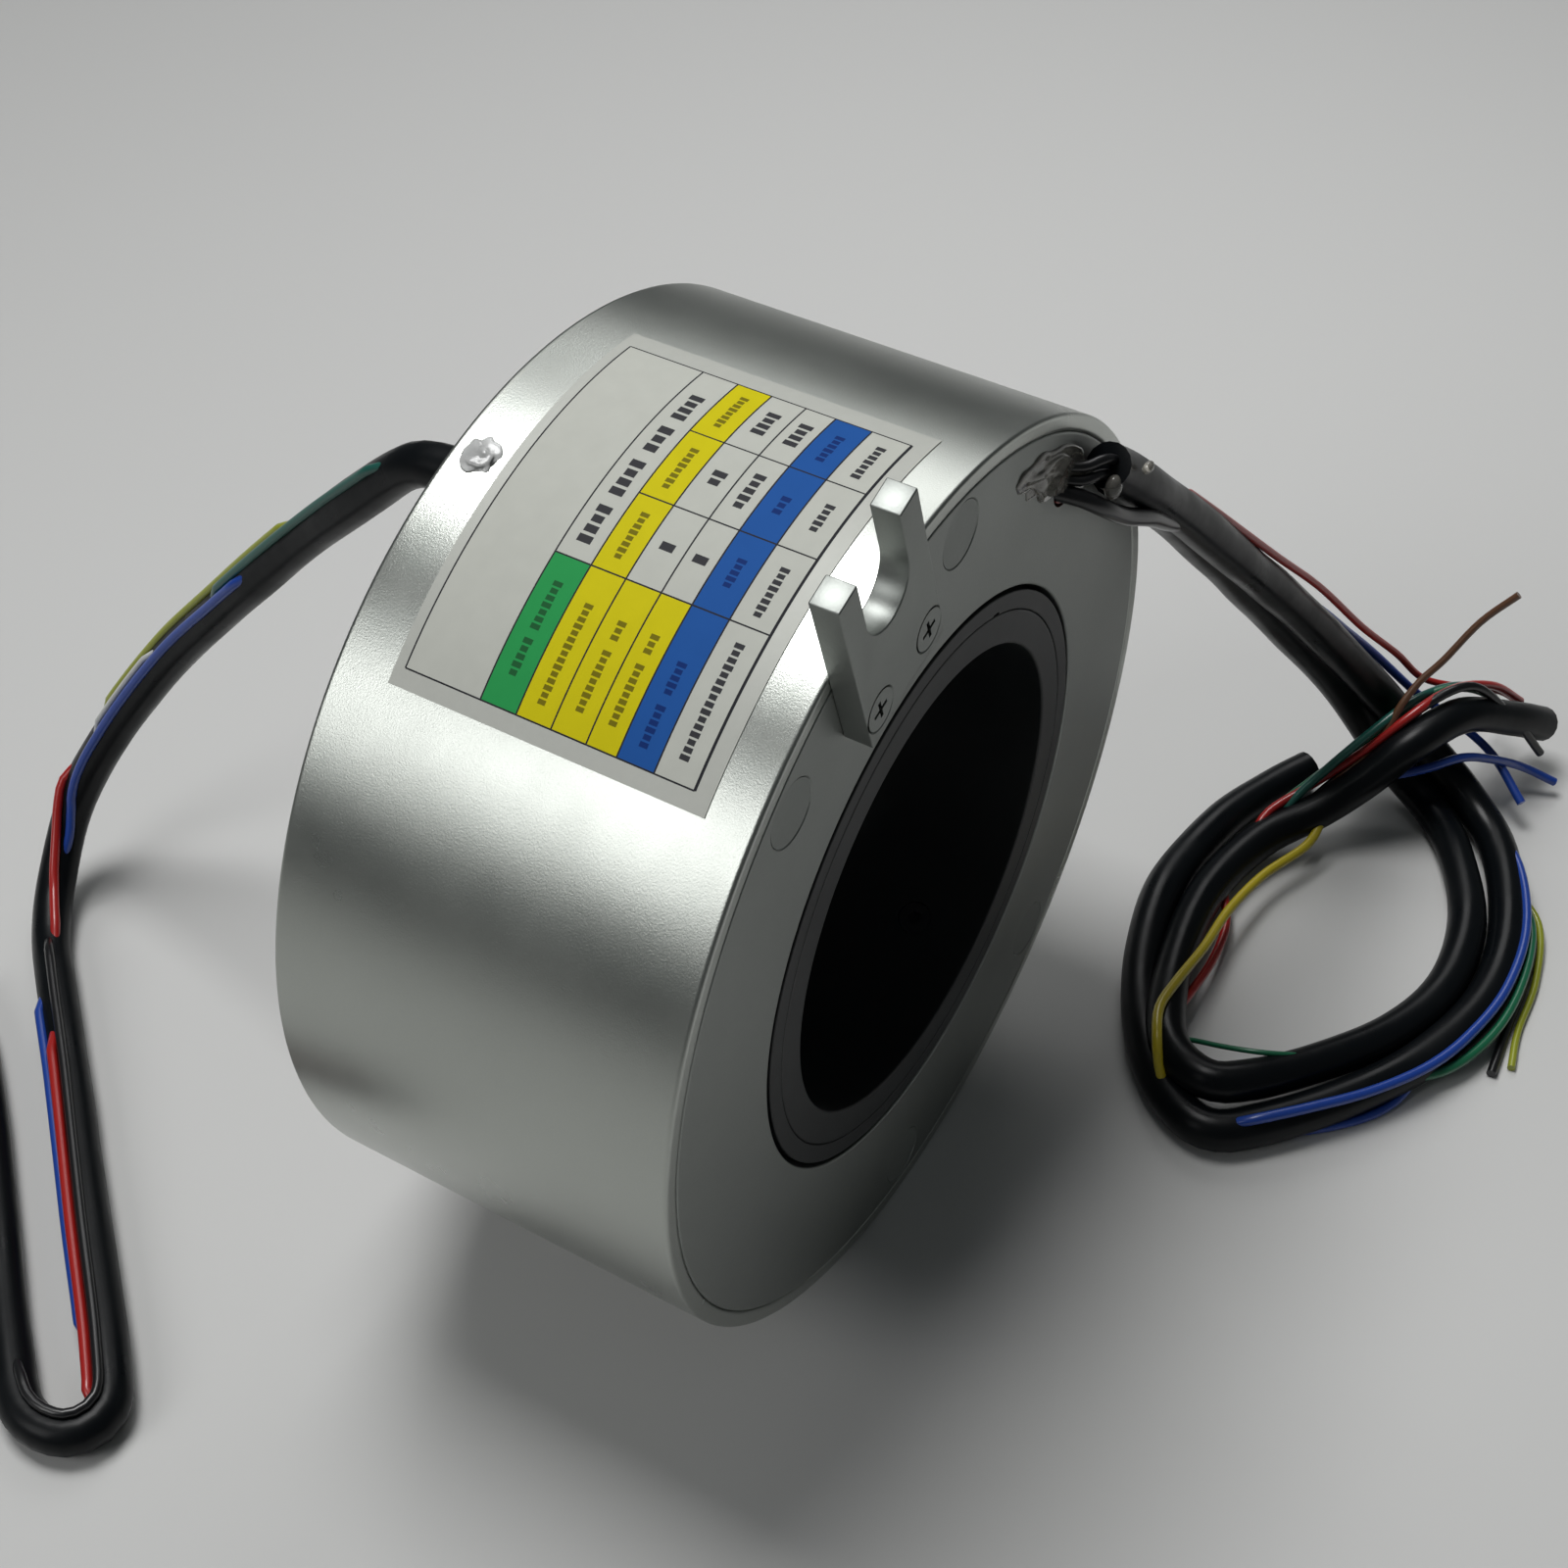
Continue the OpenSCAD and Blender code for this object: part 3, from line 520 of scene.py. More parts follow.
def make_housing(m, s):
    """The housing tube and both caps."""
    lip, spigot = s.radius - s.lip, s.inner - FIT
    cap = lip - FIT
    rear_flange = s.length - s.cap_flange
    housing = lathe("housing_shell", [
        (s.inner, s.cap_flange), (lip, s.cap_flange), (lip, 0), (s.radius, 0), (s.radius, s.length),
        (lip, s.length), (lip, rear_flange), (s.inner, rear_flange)], m["satin_aluminium"], s.edge, 360)
    hole = polar(s.radius - 1.5, SIDE_HOLE_ANGLE, SIDE_HOLE_DEPTH) / MM
    cut(housing, [plug("hole", 2.5, 4, hole, polar(1, SIDE_HOLE_ANGLE, 0) / MM)])
    add("stator", housing, "satin_aluminium", "housing")
    front = lathe("front_cap_body", [
        (s.cap_bore, 0), (cap, 0), (cap, s.cap_flange), (spigot, s.cap_flange), (spigot, FRONT_SPIGOT_END),
        (HUB_RADIUS, FRONT_SPIGOT_END), (HUB_RADIUS, FRONT_HUB_END), (RACE_RADIUS, FRONT_HUB_END),
        (RACE_RADIUS, FRONT_SEAT), (s.cap_bore, FRONT_SEAT)], m["cap_aluminium"], 0.35, 360)
    holes = []
    inward = (0, 1, 0)
    for a in TIE_ANGLES:
        at = polar(s.tie_radius, a, -1) / MM
        rim = at + Vector((0, 0.85, 0))
        holes.append(plug("recess", s.recess / 2 + 0.03, 7, at, inward))
        holes.append(plug("edge", s.recess / 2 + 0.36, 0.5, rim, inward, 64, s.recess / 2 - 0.14))
        holes.append(plug("screw", 2.1, 13, at + Vector((0, 0.6, 0)), inward))
    holes.append(plug("wires", 4, 14, polar(58.5, 53, -1) / MM, inward))
    for side in (-1, 1):
        at = tab_point(TAB_SCREW_RADIUS, side * TAB_SCREW_ACROSS, -1)
        holes.append(plug("tab", 1.5, 10, at, inward, 32))
    cut(front, holes)
    add("stator", front, "cap_aluminium", "front_cap")
    rear = lathe("rear_cap_body", [
        (s.cap_bore, s.length), (cap, s.length), (cap, rear_flange), (spigot, rear_flange),
        (spigot, REAR_SPIGOT), (RACE_RADIUS, REAR_SPIGOT), (RACE_RADIUS, REAR_SEAT), (s.cap_bore, REAR_SEAT)],
        m["cap_aluminium"], 0.35, 360)
    threads = [polar(s.tie_radius, a, REAR_SPIGOT - 1.5) / MM for a in TIE_ANGLES]
    cut(rear, [plug("screw", 2, 10, at, inward, 32) for at in threads])
    add("stator", rear, "cap_aluminium", "rear_cap")


def tab_point(radius, across, depth):
    """A point by its radius along the tab, its place across the tab and its depth, in millimetres."""
    a = math.radians(TAB_ANGLE)
    return Vector((radius * math.cos(a) - across * math.sin(a), depth,
                   radius * math.sin(a) + across * math.cos(a)))


def make_side_glue(m):
    """The dab of white glue in the locking hole near the rear rim."""
    bm = bmesh.new()
    bmesh.ops.create_uvsphere(bm, u_segments=48, v_segments=24, radius=1.0)
    for v in bm.verts:
        across, along, high = v.co
        rough = noise_at(v.co * 1.9)
        uneven = 1 + 0.3 * rough
        height = (0.75 if high > 0 else 1.6) * high * (1 + 0.5 * rough)
        v.co = polar(67.42 + height, SIDE_HOLE_ANGLE + 2.35 * across * uneven,
                     SIDE_HOLE_DEPTH + 2.4 * along * uneven)
    made = finish_mesh(bm, "side_glue", m["white_glue"], 180)
    add("stator", made, "filler", "side_filler")


def make_tab(m):
    """The fork-shaped torque tab, with rounded edges and screw holes."""
    root, reach, half, thick, slot, bottom = 54.0, 83.0, 9.2, 4.0, 5.0, 74.5
    outline = [(root, -half), (reach, -half), (reach, -slot)]
    outline += [(bottom + slot * math.cos(math.radians(a)), slot * math.sin(math.radians(a)))
                for a in range(-90, -271, -10)]
    outline += [(reach, slot), (reach, half), (root, half)]
    bm = bmesh.new()
    front = [bm.verts.new(tab_point(r, c, -thick) * MM) for r, c in outline]
    back = [bm.verts.new(tab_point(r, c, 0) * MM) for r, c in outline]
    bm.faces.new(front)
    bm.faces.new(back)
    for i in range(len(outline)):
        n = (i + 1) % len(outline)
        bm.faces.new((front[i], front[n], back[n], back[i]))
    tab = finish_mesh(bm, "tab_body", m["tab_aluminium"])
    edge = tab.modifiers.new("edge", "BEVEL")
    edge.width, edge.segments = 0.2 * MM, 3
    edge.limit_method, edge.angle_limit = "ANGLE", math.radians(50)
    bake(tab)
    cutters = []
    inward = (0, 1, 0)
    for side in (-1, 1):
        across = side * TAB_SCREW_ACROSS
        cutters.append(plug("hole", 1.6, 6, tab_point(TAB_SCREW_RADIUS, across, -thick - 1), inward, 48))
        sink = tab_point(TAB_SCREW_RADIUS, across, -thick - 0.15)
        cutters.append(plug("sink", 3.3, 1.9, sink, inward, 48, 1.6))
    cut(tab, cutters)
    add("stator", tab, "tab_aluminium", "torque_tab")


def label_fields(radius):
    """The label's fields, as (material, two angles, two depths); a later one lies on top."""
    columns = (131.0, 113.8, 104.1, 94.1, 84.4)
    rows = (50.4, 39.3, 34.1, 29.1, 24.1, 19.8, 14.6, 9.0)
    left, right, top, bottom = columns[0], columns[-1], rows[0], rows[-1]
    made = [("label_white", right, left, bottom, top)]
    made.append(("label_green", columns[1], columns[0], rows[2], rows[1]))
    made.append(("label_yellow", right, left, rows[3], rows[2]))
    made.append(("label_yellow", columns[1], columns[0], rows[5], rows[3]))
    made.append(("label_blue", right, left, rows[6], rows[5]))

    def bar(row, start, end, tall, material="label_bar"):
        """A row of small blocks in place of a word."""
        middle = (rows[row] + rows[row + 1]) / 2
        count = max(1, round(math.radians(start - end) * radius / (tall * 0.75)))
        step = (start - end) / count
        for i in range(count):
            height = tall * (1.0, 0.78, 0.9)[i % 3]
            low, high = middle - height / 2, middle + height / 2
            made.append((material, end + step * (i + 0.14), end + step * (i + 0.86), low, high))

    for start, end in ((127.6, 123.2), (122.4, 116.6)):
        bar(1, start, end, 1.3, "label_green_word")
    for start, end in ((112.0, 106.8), (105.6, 100.2), (99.0, 94.6), (93.4, 88.6)):
        bar(1, start, end, 2.0)
    for start, end in ((129.2, 117.6), (112.2, 106.0), (102.6, 96.2), (92.4, 86.2)):
        bar(2, start, end, 1.2, "label_yellow_word")
    for row in (3, 4):
        bar(row, 128.4, 121.4, 1.2, "label_yellow_word")
        bar(row, 120.4, 118.0, 1.2, "label_yellow_word")
        bar(row, 109.6, 108.2, 1.9)
    bar(3, 100.2, 97.8, 1.9)
    bar(3, 91.4, 87.0, 1.9)
    bar(4, 101.8, 96.4, 1.6)
    bar(4, 91.4, 87.0, 1.9)
    for start, end in ((129.2, 124.4), (123.4, 119.6), (110.8, 107.0), (100.8, 98.0), (92.0, 87.0)):
        bar(5, start, end, 1.3, "label_blue_word")
    for start, end in ((128.8, 115.6), (112.6, 106.2), (101.2, 97.0), (92.6, 86.4)):
        bar(6, start, end, 1.3)
    line = 0.22
    for depth in rows:
        made.append(("label_line", right, left, depth - line / 2, depth + line / 2))
    made.append(("label_line", right, left, bottom - 0.2, bottom + 0.2))
    turn = math.degrees(line / radius)
    for a in columns[1:4]:
        made.append(("label_line", a - turn / 2, a + turn / 2, bottom, rows[2]))
    made.append(("label_line", columns[1] - turn / 2, columns[1] + turn / 2, rows[2], rows[1]))
    for a in (left, right):
        made.append(("label_line", a - turn / 2, a + turn / 2, bottom, top))
    return made


LABEL_FINISHES = ("label_film", "label_white", "label_yellow", "label_green", "label_blue", "label_line",
                  "label_bar", "label_green_word", "label_yellow_word", "label_blue_word")


def make_label(m, s, radius):
    """The label as a bent sheet whose faces carry the colour fields."""
    half = math.degrees(s.arc / radius) / 2
    low, high = s.angle - half, s.angle + half
    back = s.front + s.width
    fields = label_fields(radius)
    angles = {low, high} | {low + i * (high - low) / 48 for i in range(49)}
    depths = {s.front, back}
    for _, a0, a1, d0, d1 in fields:
        angles |= {a0, a1}
        depths |= {d0, d1}
    angles = sorted(round(a, 4) for a in angles if low <= a <= high)
    depths = sorted(round(d, 4) for d in depths if s.front <= d <= back)
    bm = bmesh.new()
    outer, inner = radius + s.thickness, radius + 0.03
    top = [[bm.verts.new(polar(outer, a, d)) for a in angles] for d in depths]
    for j in range(len(depths) - 1):
        for i in range(len(angles) - 1):
            face = bm.faces.new((top[j][i], top[j][i + 1], top[j + 1][i + 1], top[j + 1][i]))
            a, d = (angles[i] + angles[i + 1]) / 2, (depths[j] + depths[j + 1]) / 2
            for material, a0, a1, d0, d1 in fields:
                if a0 <= a <= a1 and d0 <= d <= d1:
                    face.material_index = LABEL_FINISHES.index(material)
    rim = top[0] + [row[-1] for row in top[1:]] + top[-1][-2::-1] + [row[0] for row in reversed(top[1:-1])]
    scale = inner / outer
    below = [bm.verts.new((v.co.x * scale, v.co.y, v.co.z * scale)) for v in rim]
    for i in range(len(rim)):
        n = (i + 1) % len(rim)
        bm.faces.new((rim[i], rim[n], below[n], below[i]))
    label = finish_mesh(bm, "label_print", None, 40)
    for name in LABEL_FINISHES:
        label.data.materials.append(m[name])
    add("stator", label, "label", "label_plate")


COLLAR_END, BORE_SCREW_DEPTH, CLAMP_SCREW_DEPTH = 14, 10.5, 65.5
SLEEVE_SHOULDER, FLANGE_START = 58, 61
WIRE_WAY_ANGLE, WIRE_WAY_FLOOR, WIRE_WAY_HALF = 95, 37.6, 4.5


def make_rotor(m, s):
    """The hollow rotor: sleeve with its rear flange, front collar and screw holes."""
    outside = s.sleeve - FIT
    body = lathe("rotor_body", [
        (s.bore, 0), (outside, 0), (outside, SLEEVE_SHOULDER), (s.collar, SLEEVE_SHOULDER),
        (s.collar, FLANGE_START), (s.flange, FLANGE_START), (s.flange, s.length), (s.bore, s.length)],
        m["black_anodised"], 0.4)
    cutters = []
    for a in BORE_SCREW_ANGLES:
        place, outward = polar(s.bore - 1, a, BORE_SCREW_DEPTH) / MM, polar(1, a, 0) / MM
        cutters.append(plug("head", 2.6, 3, place, outward))
        cutters.append(plug("thread", 1.6, 8, place, outward, 32))
    for a in CLAMP_SCREW_ANGLES:
        place, outward = polar(s.bore - 1, a, CLAMP_SCREW_DEPTH) / MM, polar(1, a, 0) / MM
        cutters.append(plug("clamp", 2.5, 18, place, outward))
    floor, half = WIRE_WAY_FLOOR, WIRE_WAY_HALF
    cutters.append(block("groove", (floor, 25, -half), (41, 62, half), WIRE_WAY_ANGLE))
    cutters.append(block("way", (floor, 58.5, -half), (45.6, 65.5, half), WIRE_WAY_ANGLE))
    cutters.append(plug("wires", 3.5, 12, polar(45.6, WIRE_WAY_ANGLE, 60) / MM, (0, 1, 0)))
    cut(body, cutters)
    add("rotor", body, "black_anodised", "rotor_sleeve")
    seat = s.sleeve + FIT
    collar = lathe("collar_body", [(seat, 0), (s.collar, 0), (s.collar, COLLAR_END), (seat, COLLAR_END)],
                   m["black_anodised"], 0.25)
    cut(collar, [plug("hole", 1.5, 8, polar(s.bore, a, BORE_SCREW_DEPTH) / MM, polar(1, a, 0) / MM, 32)
                 for a in BORE_SCREW_ANGLES])
    cut(collar, [block("notch", (37.2, -0.5, -0.9), (40.5, 0.35, 0.9), 67)])
    add("rotor", collar, "black_anodised", "front_collar")


def ball_ring_tree(material):
    """Geometry Nodes that set balls in a ring about the spin axis, and their inputs by name."""
    tree = bpy.data.node_groups.new("ball_ring", "GeometryNodeTree")
    tree.interface.new_socket("Geometry", in_out="OUTPUT", socket_type="NodeSocketGeometry")
    inputs = {name: tree.interface.new_socket(name, in_out="INPUT", socket_type=kind).identifier
              for name, kind in (("Ball radius", "NodeSocketFloat"), ("Pitch radius", "NodeSocketFloat"),
                                 ("Depth", "NodeSocketFloat"), ("Count", "NodeSocketInt"))}
    new, link = tree.nodes.new, tree.links.new
    start, end = new("NodeGroupInput"), new("NodeGroupOutput")
    circle, stand = new("GeometryNodeMeshCircle"), new("GeometryNodeTransform")
    place, ball = new("ShaderNodeCombineXYZ"), new("GeometryNodeMeshIcoSphere")
    copies, real = new("GeometryNodeInstanceOnPoints"), new("GeometryNodeRealizeInstances")
    smooth, paint = new("GeometryNodeSetShadeSmooth"), new("GeometryNodeSetMaterial")
    stand.inputs["Rotation"].default_value = (math.pi / 2, 0, 0)
    ball.inputs["Subdivisions"].default_value = 3
    paint.inputs["Material"].default_value = material
    link(start.outputs["Count"], circle.inputs["Vertices"])
    link(start.outputs["Pitch radius"], circle.inputs["Radius"])
    link(start.outputs["Depth"], place.inputs["Y"])
    link(start.outputs["Ball radius"], ball.inputs["Radius"])
    link(circle.outputs["Mesh"], stand.inputs["Geometry"])
    link(place.outputs["Vector"], stand.inputs["Translation"])
    link(stand.outputs["Geometry"], copies.inputs["Points"])
    link(ball.outputs["Mesh"], copies.inputs["Instance"])
    link(copies.outputs["Instances"], real.inputs["Geometry"])
    link(real.outputs["Geometry"], smooth.inputs["Geometry"])
    link(smooth.outputs["Geometry"], paint.inputs["Geometry"])
    link(paint.outputs["Geometry"], end.inputs["Geometry"])
    return tree, inputs


def make_balls(m, s):
    """The balls of both bearings."""
    tree, inputs = ball_ring_tree(m["bearing_steel"])
    for end, depth in (("front", s.front), ("rear", s.rear)):
        balls = new_object(f"{end}_ball_set", bpy.data.meshes.new(f"{end}_ball_set"))
        ring = balls.modifiers.new("ring", "NODES")
        ring.node_group = tree
        ring[inputs["Ball radius"]] = s.ball * MM
        ring[inputs["Pitch radius"]] = s.pitch * MM
        ring[inputs["Depth"]] = depth * MM
        ring[inputs["Count"]] = s.count
        bpy.context.view_layer.update()
        bake(balls)
        add(f"{end}_bearing", balls, "bearing_steel", f"{end}_balls")


# Routes of the sleeves, as points in millimetres from the exit to the end
POWER_IN = [
    (40, -3.8, 47.4), (48.5, -4.6, 39.5), (64, -6.8, 24), (82, -10.8, 4), (100, -16.2, -17),
    (115, -24.2, -38), (122.3, -35, -54), (119.5, -48, -62),
]
POWER_LOOP = [
    (111, -57.5, -64), (93.5, -65, -64), (77, -66.6, -64), (61, -62.6, -64), (47, -55, -64),
    (35, -45.5, -64), (29, -37.5, -64), (33, -28, -64), (43, -20, -64), (57, -13.5, -64), (75, -10, -64),
    (93, -12, -64), (106, -16.5, -64), (113.5, -20.5, -63.6),
]
SIGNAL_IN = [
    (43.6, -3.5, 43.4), (52.4, -3.7, 34.6), (67.4, -4.9, 19.4), (84.6, -8.2, -0.8), (101.6, -13.4, -22.4),
    (116.2, -22.6, -44.6), (119.2, -33, -59.8), (114.4, -44.4, -64),
]
SIGNAL_LOOP = [
    (105.4, -51.8, -64), (92, -58.3, -64), (76.5, -59.9, -64), (62.5, -56, -63.5), (49.5, -48.6, -62),
    (38.5, -40.6, -60), (34.6, -34, -59.5), (39.5, -25.6, -60), (55, -19.8, -61.8), (75, -17, -63.5),
    (91, -20, -63), (101, -27.2, -59.8), (107, -33, -54), (113, -37.8, -48.2), (123, -43, -47.2),
    (134, -50, -53.5), (141, -54, -58.5),
]
ROTOR_ROUTE = [
    (-4, 72.5, 45.4), (-4, 80, 43.6), (-3.6, 90, 34.5), (-3, 106, 18), (-3.4, 123, -1), (-5, 137, -17.5),
    (-9.5, 149.5, -36), (-15.5, 156.5, -51), (-25, 155, -61), (-34, 149, -64),
]
HANK_ROUTE = [
    (-42, 140.5, -64), (-56, 124.5, -64), (-75, 103.5, -64), (-92, 84.5, -64), (-99.2, 78.4, -64),
    (-105, 80.6, -64), (-105.4, 88.6, -64), (-97.8, 98.6, -64), (-83.2, 114.6, -64), (-68, 131.5, -64),
    (-56.6, 145.6, -64), (-51, 156, -64),
]
# Wires beside the fixed side's sleeves: material, diameter and points
STATOR_WIRES = {
    "red_long": ("wire_red", 1.3, [
        (59, -6.4, 29), (64, -7, 27.6), (69, -7.6, 23.2), (90, -14, 0.6), (103, -18.7, -13.5),
        (114, -24.4, -28), (122, -29.5, -38), (126.3, -34, -45), (131, -40, -48), (138, -45.4, -52),
        (141.5, -49, -56),
    ]),
    "blue_long": ("wire_blue", 1.6, [
        (97, -15.6, -15), (106, -17.6, -20.4), (115.5, -21.9, -31.5), (121, -26, -39),
        (126, -33.5, -48.5), (128.6, -41, -54), (128, -49, -58), (123, -57, -62),
    ]),
    "red_fan": ("wire_red", 1.6, [
        (90, -19, -62), (96, -19.5, -60), (103, -24.5, -56.5), (109, -30.5, -50.6), (114, -35.2, -44.8),
        (120, -38.4, -42.6), (128, -41, -45), (136, -45, -49.5), (142, -49, -56),
    ]),
    "green_fan": ("wire_green", 1.6, [
        (92, -18.4, -63.4), (98, -20.2, -60.4), (104, -23.8, -57), (112, -29.4, -51.2),
        (119, -34.4, -45.6), (125, -39.4, -44), (131.5, -44.4, -48), (136, -50, -56),
    ]),
    "black_fan": ("wire_black", 1.6, [
        (94, -22, -61.5), (105, -27.5, -56), (111, -32.6, -50), (117, -37, -43.4), (126, -43, -42.6),
        (132, -50.5, -52), (135, -56, -60),
    ]),
    "teal_fan": ("wire_teal", 1.6, [
        (95, -21, -63), (99.4, -22.6, -58.4), (103.4, -25, -54.8), (110, -30.4, -47.4), (118, -35, -43.6),
        (128, -39, -46), (138, -43, -53), (143, -45, -59),
    ]),
    "blue_tail": ("wire_blue", 1.6, [
        (107, -33.6, -54), (112, -40.5, -52.6), (118.5, -45.5, -52.6), (124.5, -49.5, -56),
        (131, -54, -61), (134, -60, -64.5),
    ]),
    "brown_stray": ("wire_brown", 1.3, [
        (100, -24, -60), (107, -29.5, -53.6), (112, -32.8, -47), (115, -33.6, -43.4), (119.3, -35, -40),
        (123, -37.5, -36.5), (128, -41, -30), (131, -45.6, -24),
    ]),
    "yellow_loop": ("wire_yellow", 1.7, [
        (31.5, -29.5, -64), (33.2, -27, -60), (35.8, -25, -56.6), (42, -22.6, -56.6), (50, -22.4, -57.8),
        (60, -22.8, -59.4), (71.5, -22.6, -61), (83, -24.2, -62), (94, -28, -62), (101, -28, -60),
    ]),
    "red_loop": ("wire_red", 1.6, [
        (34, -33, -60), (38.6, -28, -59.8), (43, -24.4, -60), (52, -24.2, -62.4), (62.5, -24, -64.2),
        (72, -22.4, -65), (80, -18, -64),
    ]),
    "green_stray": ("wire_green", 0.9, [
        (40, -23, -63), (41.6, -28, -61), (41.6, -34, -59), (42.6, -40, -57.8), (46.5, -46, -59),
        (53, -52, -63),
    ]),
    "blue_edge": ("wire_blue", 1.7, [
        (29.4, -38, -64), (31.6, -44, -60.4), (38.5, -51, -60.2), (47, -58, -60.8), (57, -64, -61.4),
        (67, -67.4, -61.6), (79.5, -69.2, -61.6), (94, -67.6, -61.6), (108, -61.6, -62), (117, -53, -63),
    ]),
    "blue_under": ("wire_blue", 1.6, [
        (40, -23.6, -64), (33, -32, -65.6), (33.4, -42, -66.4), (40, -52.6, -66.4), (50, -60.6, -66.4),
        (61, -63, -64),
    ]),
    "green_edge": ("wire_green", 1.6, [
        (104, -60.5, -63), (98, -67.4, -63.6), (86, -70.6, -63.4), (72, -70.6, -63.6), (60, -66.4, -64),
        (52, -58, -64),
    ]),
    "black_end": ("wire_black", 1.6, [
        (104, -60, -64), (97, -68.4, -65.6), (87, -70.8, -66.4), (76, -71.6, -66.6), (65, -72.6, -66.6),
    ]),
    "yellow_end": ("wire_yellow_green", 1.3, [
        (105, -61, -64), (100, -68.6, -65.6), (88, -72.4, -66.7), (76, -73.4, -66.8), (68, -75, -66.8),
    ]),
}
# Black wires at the exit of the fixed side: diameter and points
ROOT_WIRES = {
    "root_upper": (1.5, [
        (34.4, 1.5, 49), (36, -1.8, 49), (40, -4.2, 48.6), (48, -5, 40.6), (64, -6.8, 24.4),
    ]),
    "root_middle": (1.6, [
        (33.6, 1.5, 47.6), (35.2, -2, 47.2), (38.6, -3.8, 46.8), (46, -4.8, 40.8), (64, -6.8, 24),
    ]),
    "root_lower": (2.6, [
        (32.6, 1.5, 46), (34.2, -2.6, 45.2), (37, -5, 42.6), (42.6, -6, 37.8), (50, -7, 32.8),
        (58, -7.2, 26.4), (66, -7, 21),
    ]),
}
# Wires on the turning side's sleeve: material, diameter, distance from its middle, angles round it at
# the wire's start and end, and the shares of its length where the wire starts and ends
ROTOR_WIRES = {
    "yellow": ("wire_yellow_green", 1.5, 3.5, 100, 84, 0.1, 0.34),
    "green": ("wire_teal", 1.5, 3.4, 132, 118, 0.02, 0.22),
    "blue": ("wire_blue", 1.6, 3.4, 154, 128, 0.14, 0.42),
    # white: a thin white strand that paints the highlight streak on the sleeve, not a wire of its own
    "white": ("wire_white", 1.0, 3.7, 120, 112, 0.24, 0.35),
    "red": ("wire_red", 1.7, 3.6, 74, 122, 0.33, 0.48),
    "red_hank": ("wire_red", 1.7, 3.7, 60, 34, 0.5, 0.74),
    "blue_hank": ("wire_blue", 1.6, 3.6, 30, 8, 0.47, 0.7),
    "black_hank": ("wire_black", 1.6, 3.8, 92, 66, 0.44, 0.8),
}


def make_leads(m, s):
    """Both leads: black sleeves and the thin wires that run in them, beside them and out of their ends."""
    jacket = m["lead_jacket"]
    power = smooth_route(POWER_IN + POWER_LOOP)
    strand("power_sleeve", power, s.power, jacket, "stator", "stator_lead", "stator_lead_loop")
    signal = smooth_route(SIGNAL_IN + SIGNAL_LOOP)
    strand("signal_sleeve", signal, s.signal, jacket, "stator", "stator_lead_tail")
    for name, (material, thick, points) in STATOR_WIRES.items():
        strand(f"stator_wire_{name}", smooth_route(points, 1.5), thick, m[material], "stator")
    for name, (thick, points) in ROOT_WIRES.items():
        strand(f"stator_wire_{name}", smooth_route(points, 1), thick, m["wire_black"], "stator")
    rotor = smooth_route(ROTOR_ROUTE + HANK_ROUTE)
    strand("rotor_lead_sleeve", rotor, s.rotor, jacket, "rotor", "rotor_lead", "rotor_lead_hank")
    for name, (material, thick, offset, start, end, first, last) in ROTOR_WIRES.items():
        part = rotor[int(first * len(rotor)):int(last * len(rotor))]
        # rotor_wire_white is the painted highlight streak, not a wire
        strand(f"rotor_wire_{name}", beside(part, offset, start, end), thick, m[material], "rotor")


GLUE_ANGLE, GLUE_HALF_ARC, GLUE_RADIUS, GLUE_HALF_WIDTH = 59.0, 12.5, 59.4, 3.6
GLUE_DROPS = (((38.6, -5.4, 45.2), (1.5, 1.2, 1.9)), ((43.5, -8.2, 46.4), (1.3, 0.7, 0.8)))


def make_glue(m):
    """The smear of clear glue round the stator wires, swollen at their exit, and two drops on them."""
    bm = bmesh.new()
    bmesh.ops.create_uvsphere(bm, u_segments=72, v_segments=36, radius=1.0)
    for v in bm.verts:
        along, across, high = v.co.x, v.co.y, v.co.z
        rough = noise_at(Vector((along * 3.1, across * 2.7, 0.5 * high)))
        angle = GLUE_ANGLE - GLUE_HALF_ARC * along * (1 + 0.16 * rough)
        radius = GLUE_RADIUS + (GLUE_HALF_WIDTH + 1.5 * rough) * across
        swell = 0.85 + 1.5 * math.exp(-((along - 0.66) / 0.26) ** 2) * math.exp(-(across / 0.75) ** 2)
        depth = -high * swell * (1 + 0.55 * rough) if high > 0 else FIT
        v.co = polar(min(radius, 64.2), angle, depth)
    for place, size in GLUE_DROPS:
        drop = bmesh.ops.create_uvsphere(bm, u_segments=24, v_segments=12, radius=1.0)["verts"]
        for v in drop:
            v.co = Vector([(c * k + at) * MM for c, k, at in zip(v.co, size, place)])
    smear = finish_mesh(bm, "glue_smear", m["clear_glue"], 180)
    add("stator", smear, "clear_glue", "stator_lead_glue")


# ---------------------------------------------------------------- stage

FLOOR_COLOUR = (0.62, 0.62, 0.61)
WORLD_COLOUR, WORLD_STRENGTH = (0.86, 0.93, 0.95), 0.075


def make_camera():
    """The camera, from its place and the directions of its right side and its view."""
    data = bpy.data.cameras.new("camera")
    data.lens, data.sensor_width = LENS, SENSOR
    data.clip_start, data.clip_end = 0.01, 20.0
    camera = new_object("camera", data)
    right, forward = Vector(CAMERA_RIGHT), Vector(CAMERA_FORWARD)
    up = right.cross(forward)
    turn = Matrix((right, up, -forward)).transposed().to_4x4()
    camera.matrix_world = Matrix.Translation(Vector(CAMERA_AT)) @ turn
    bpy.context.scene.camera = camera


def make_light(name, place, target, size, power, spread=180):
    """A rectangular area light, its size as width and height, its spread in degrees."""
    data = bpy.data.lights.new(name, "AREA")
    data.shape, data.size, data.size_y, data.energy = "RECTANGLE", size[0], size[1], power
    data.spread = math.radians(spread)
    light = new_object(name, data)
    light.location = place
    light.rotation_mode = "QUATERNION"
    light.rotation_quaternion = (Vector(target) - Vector(place)).to_track_quat("-Z", "Y")
    return light


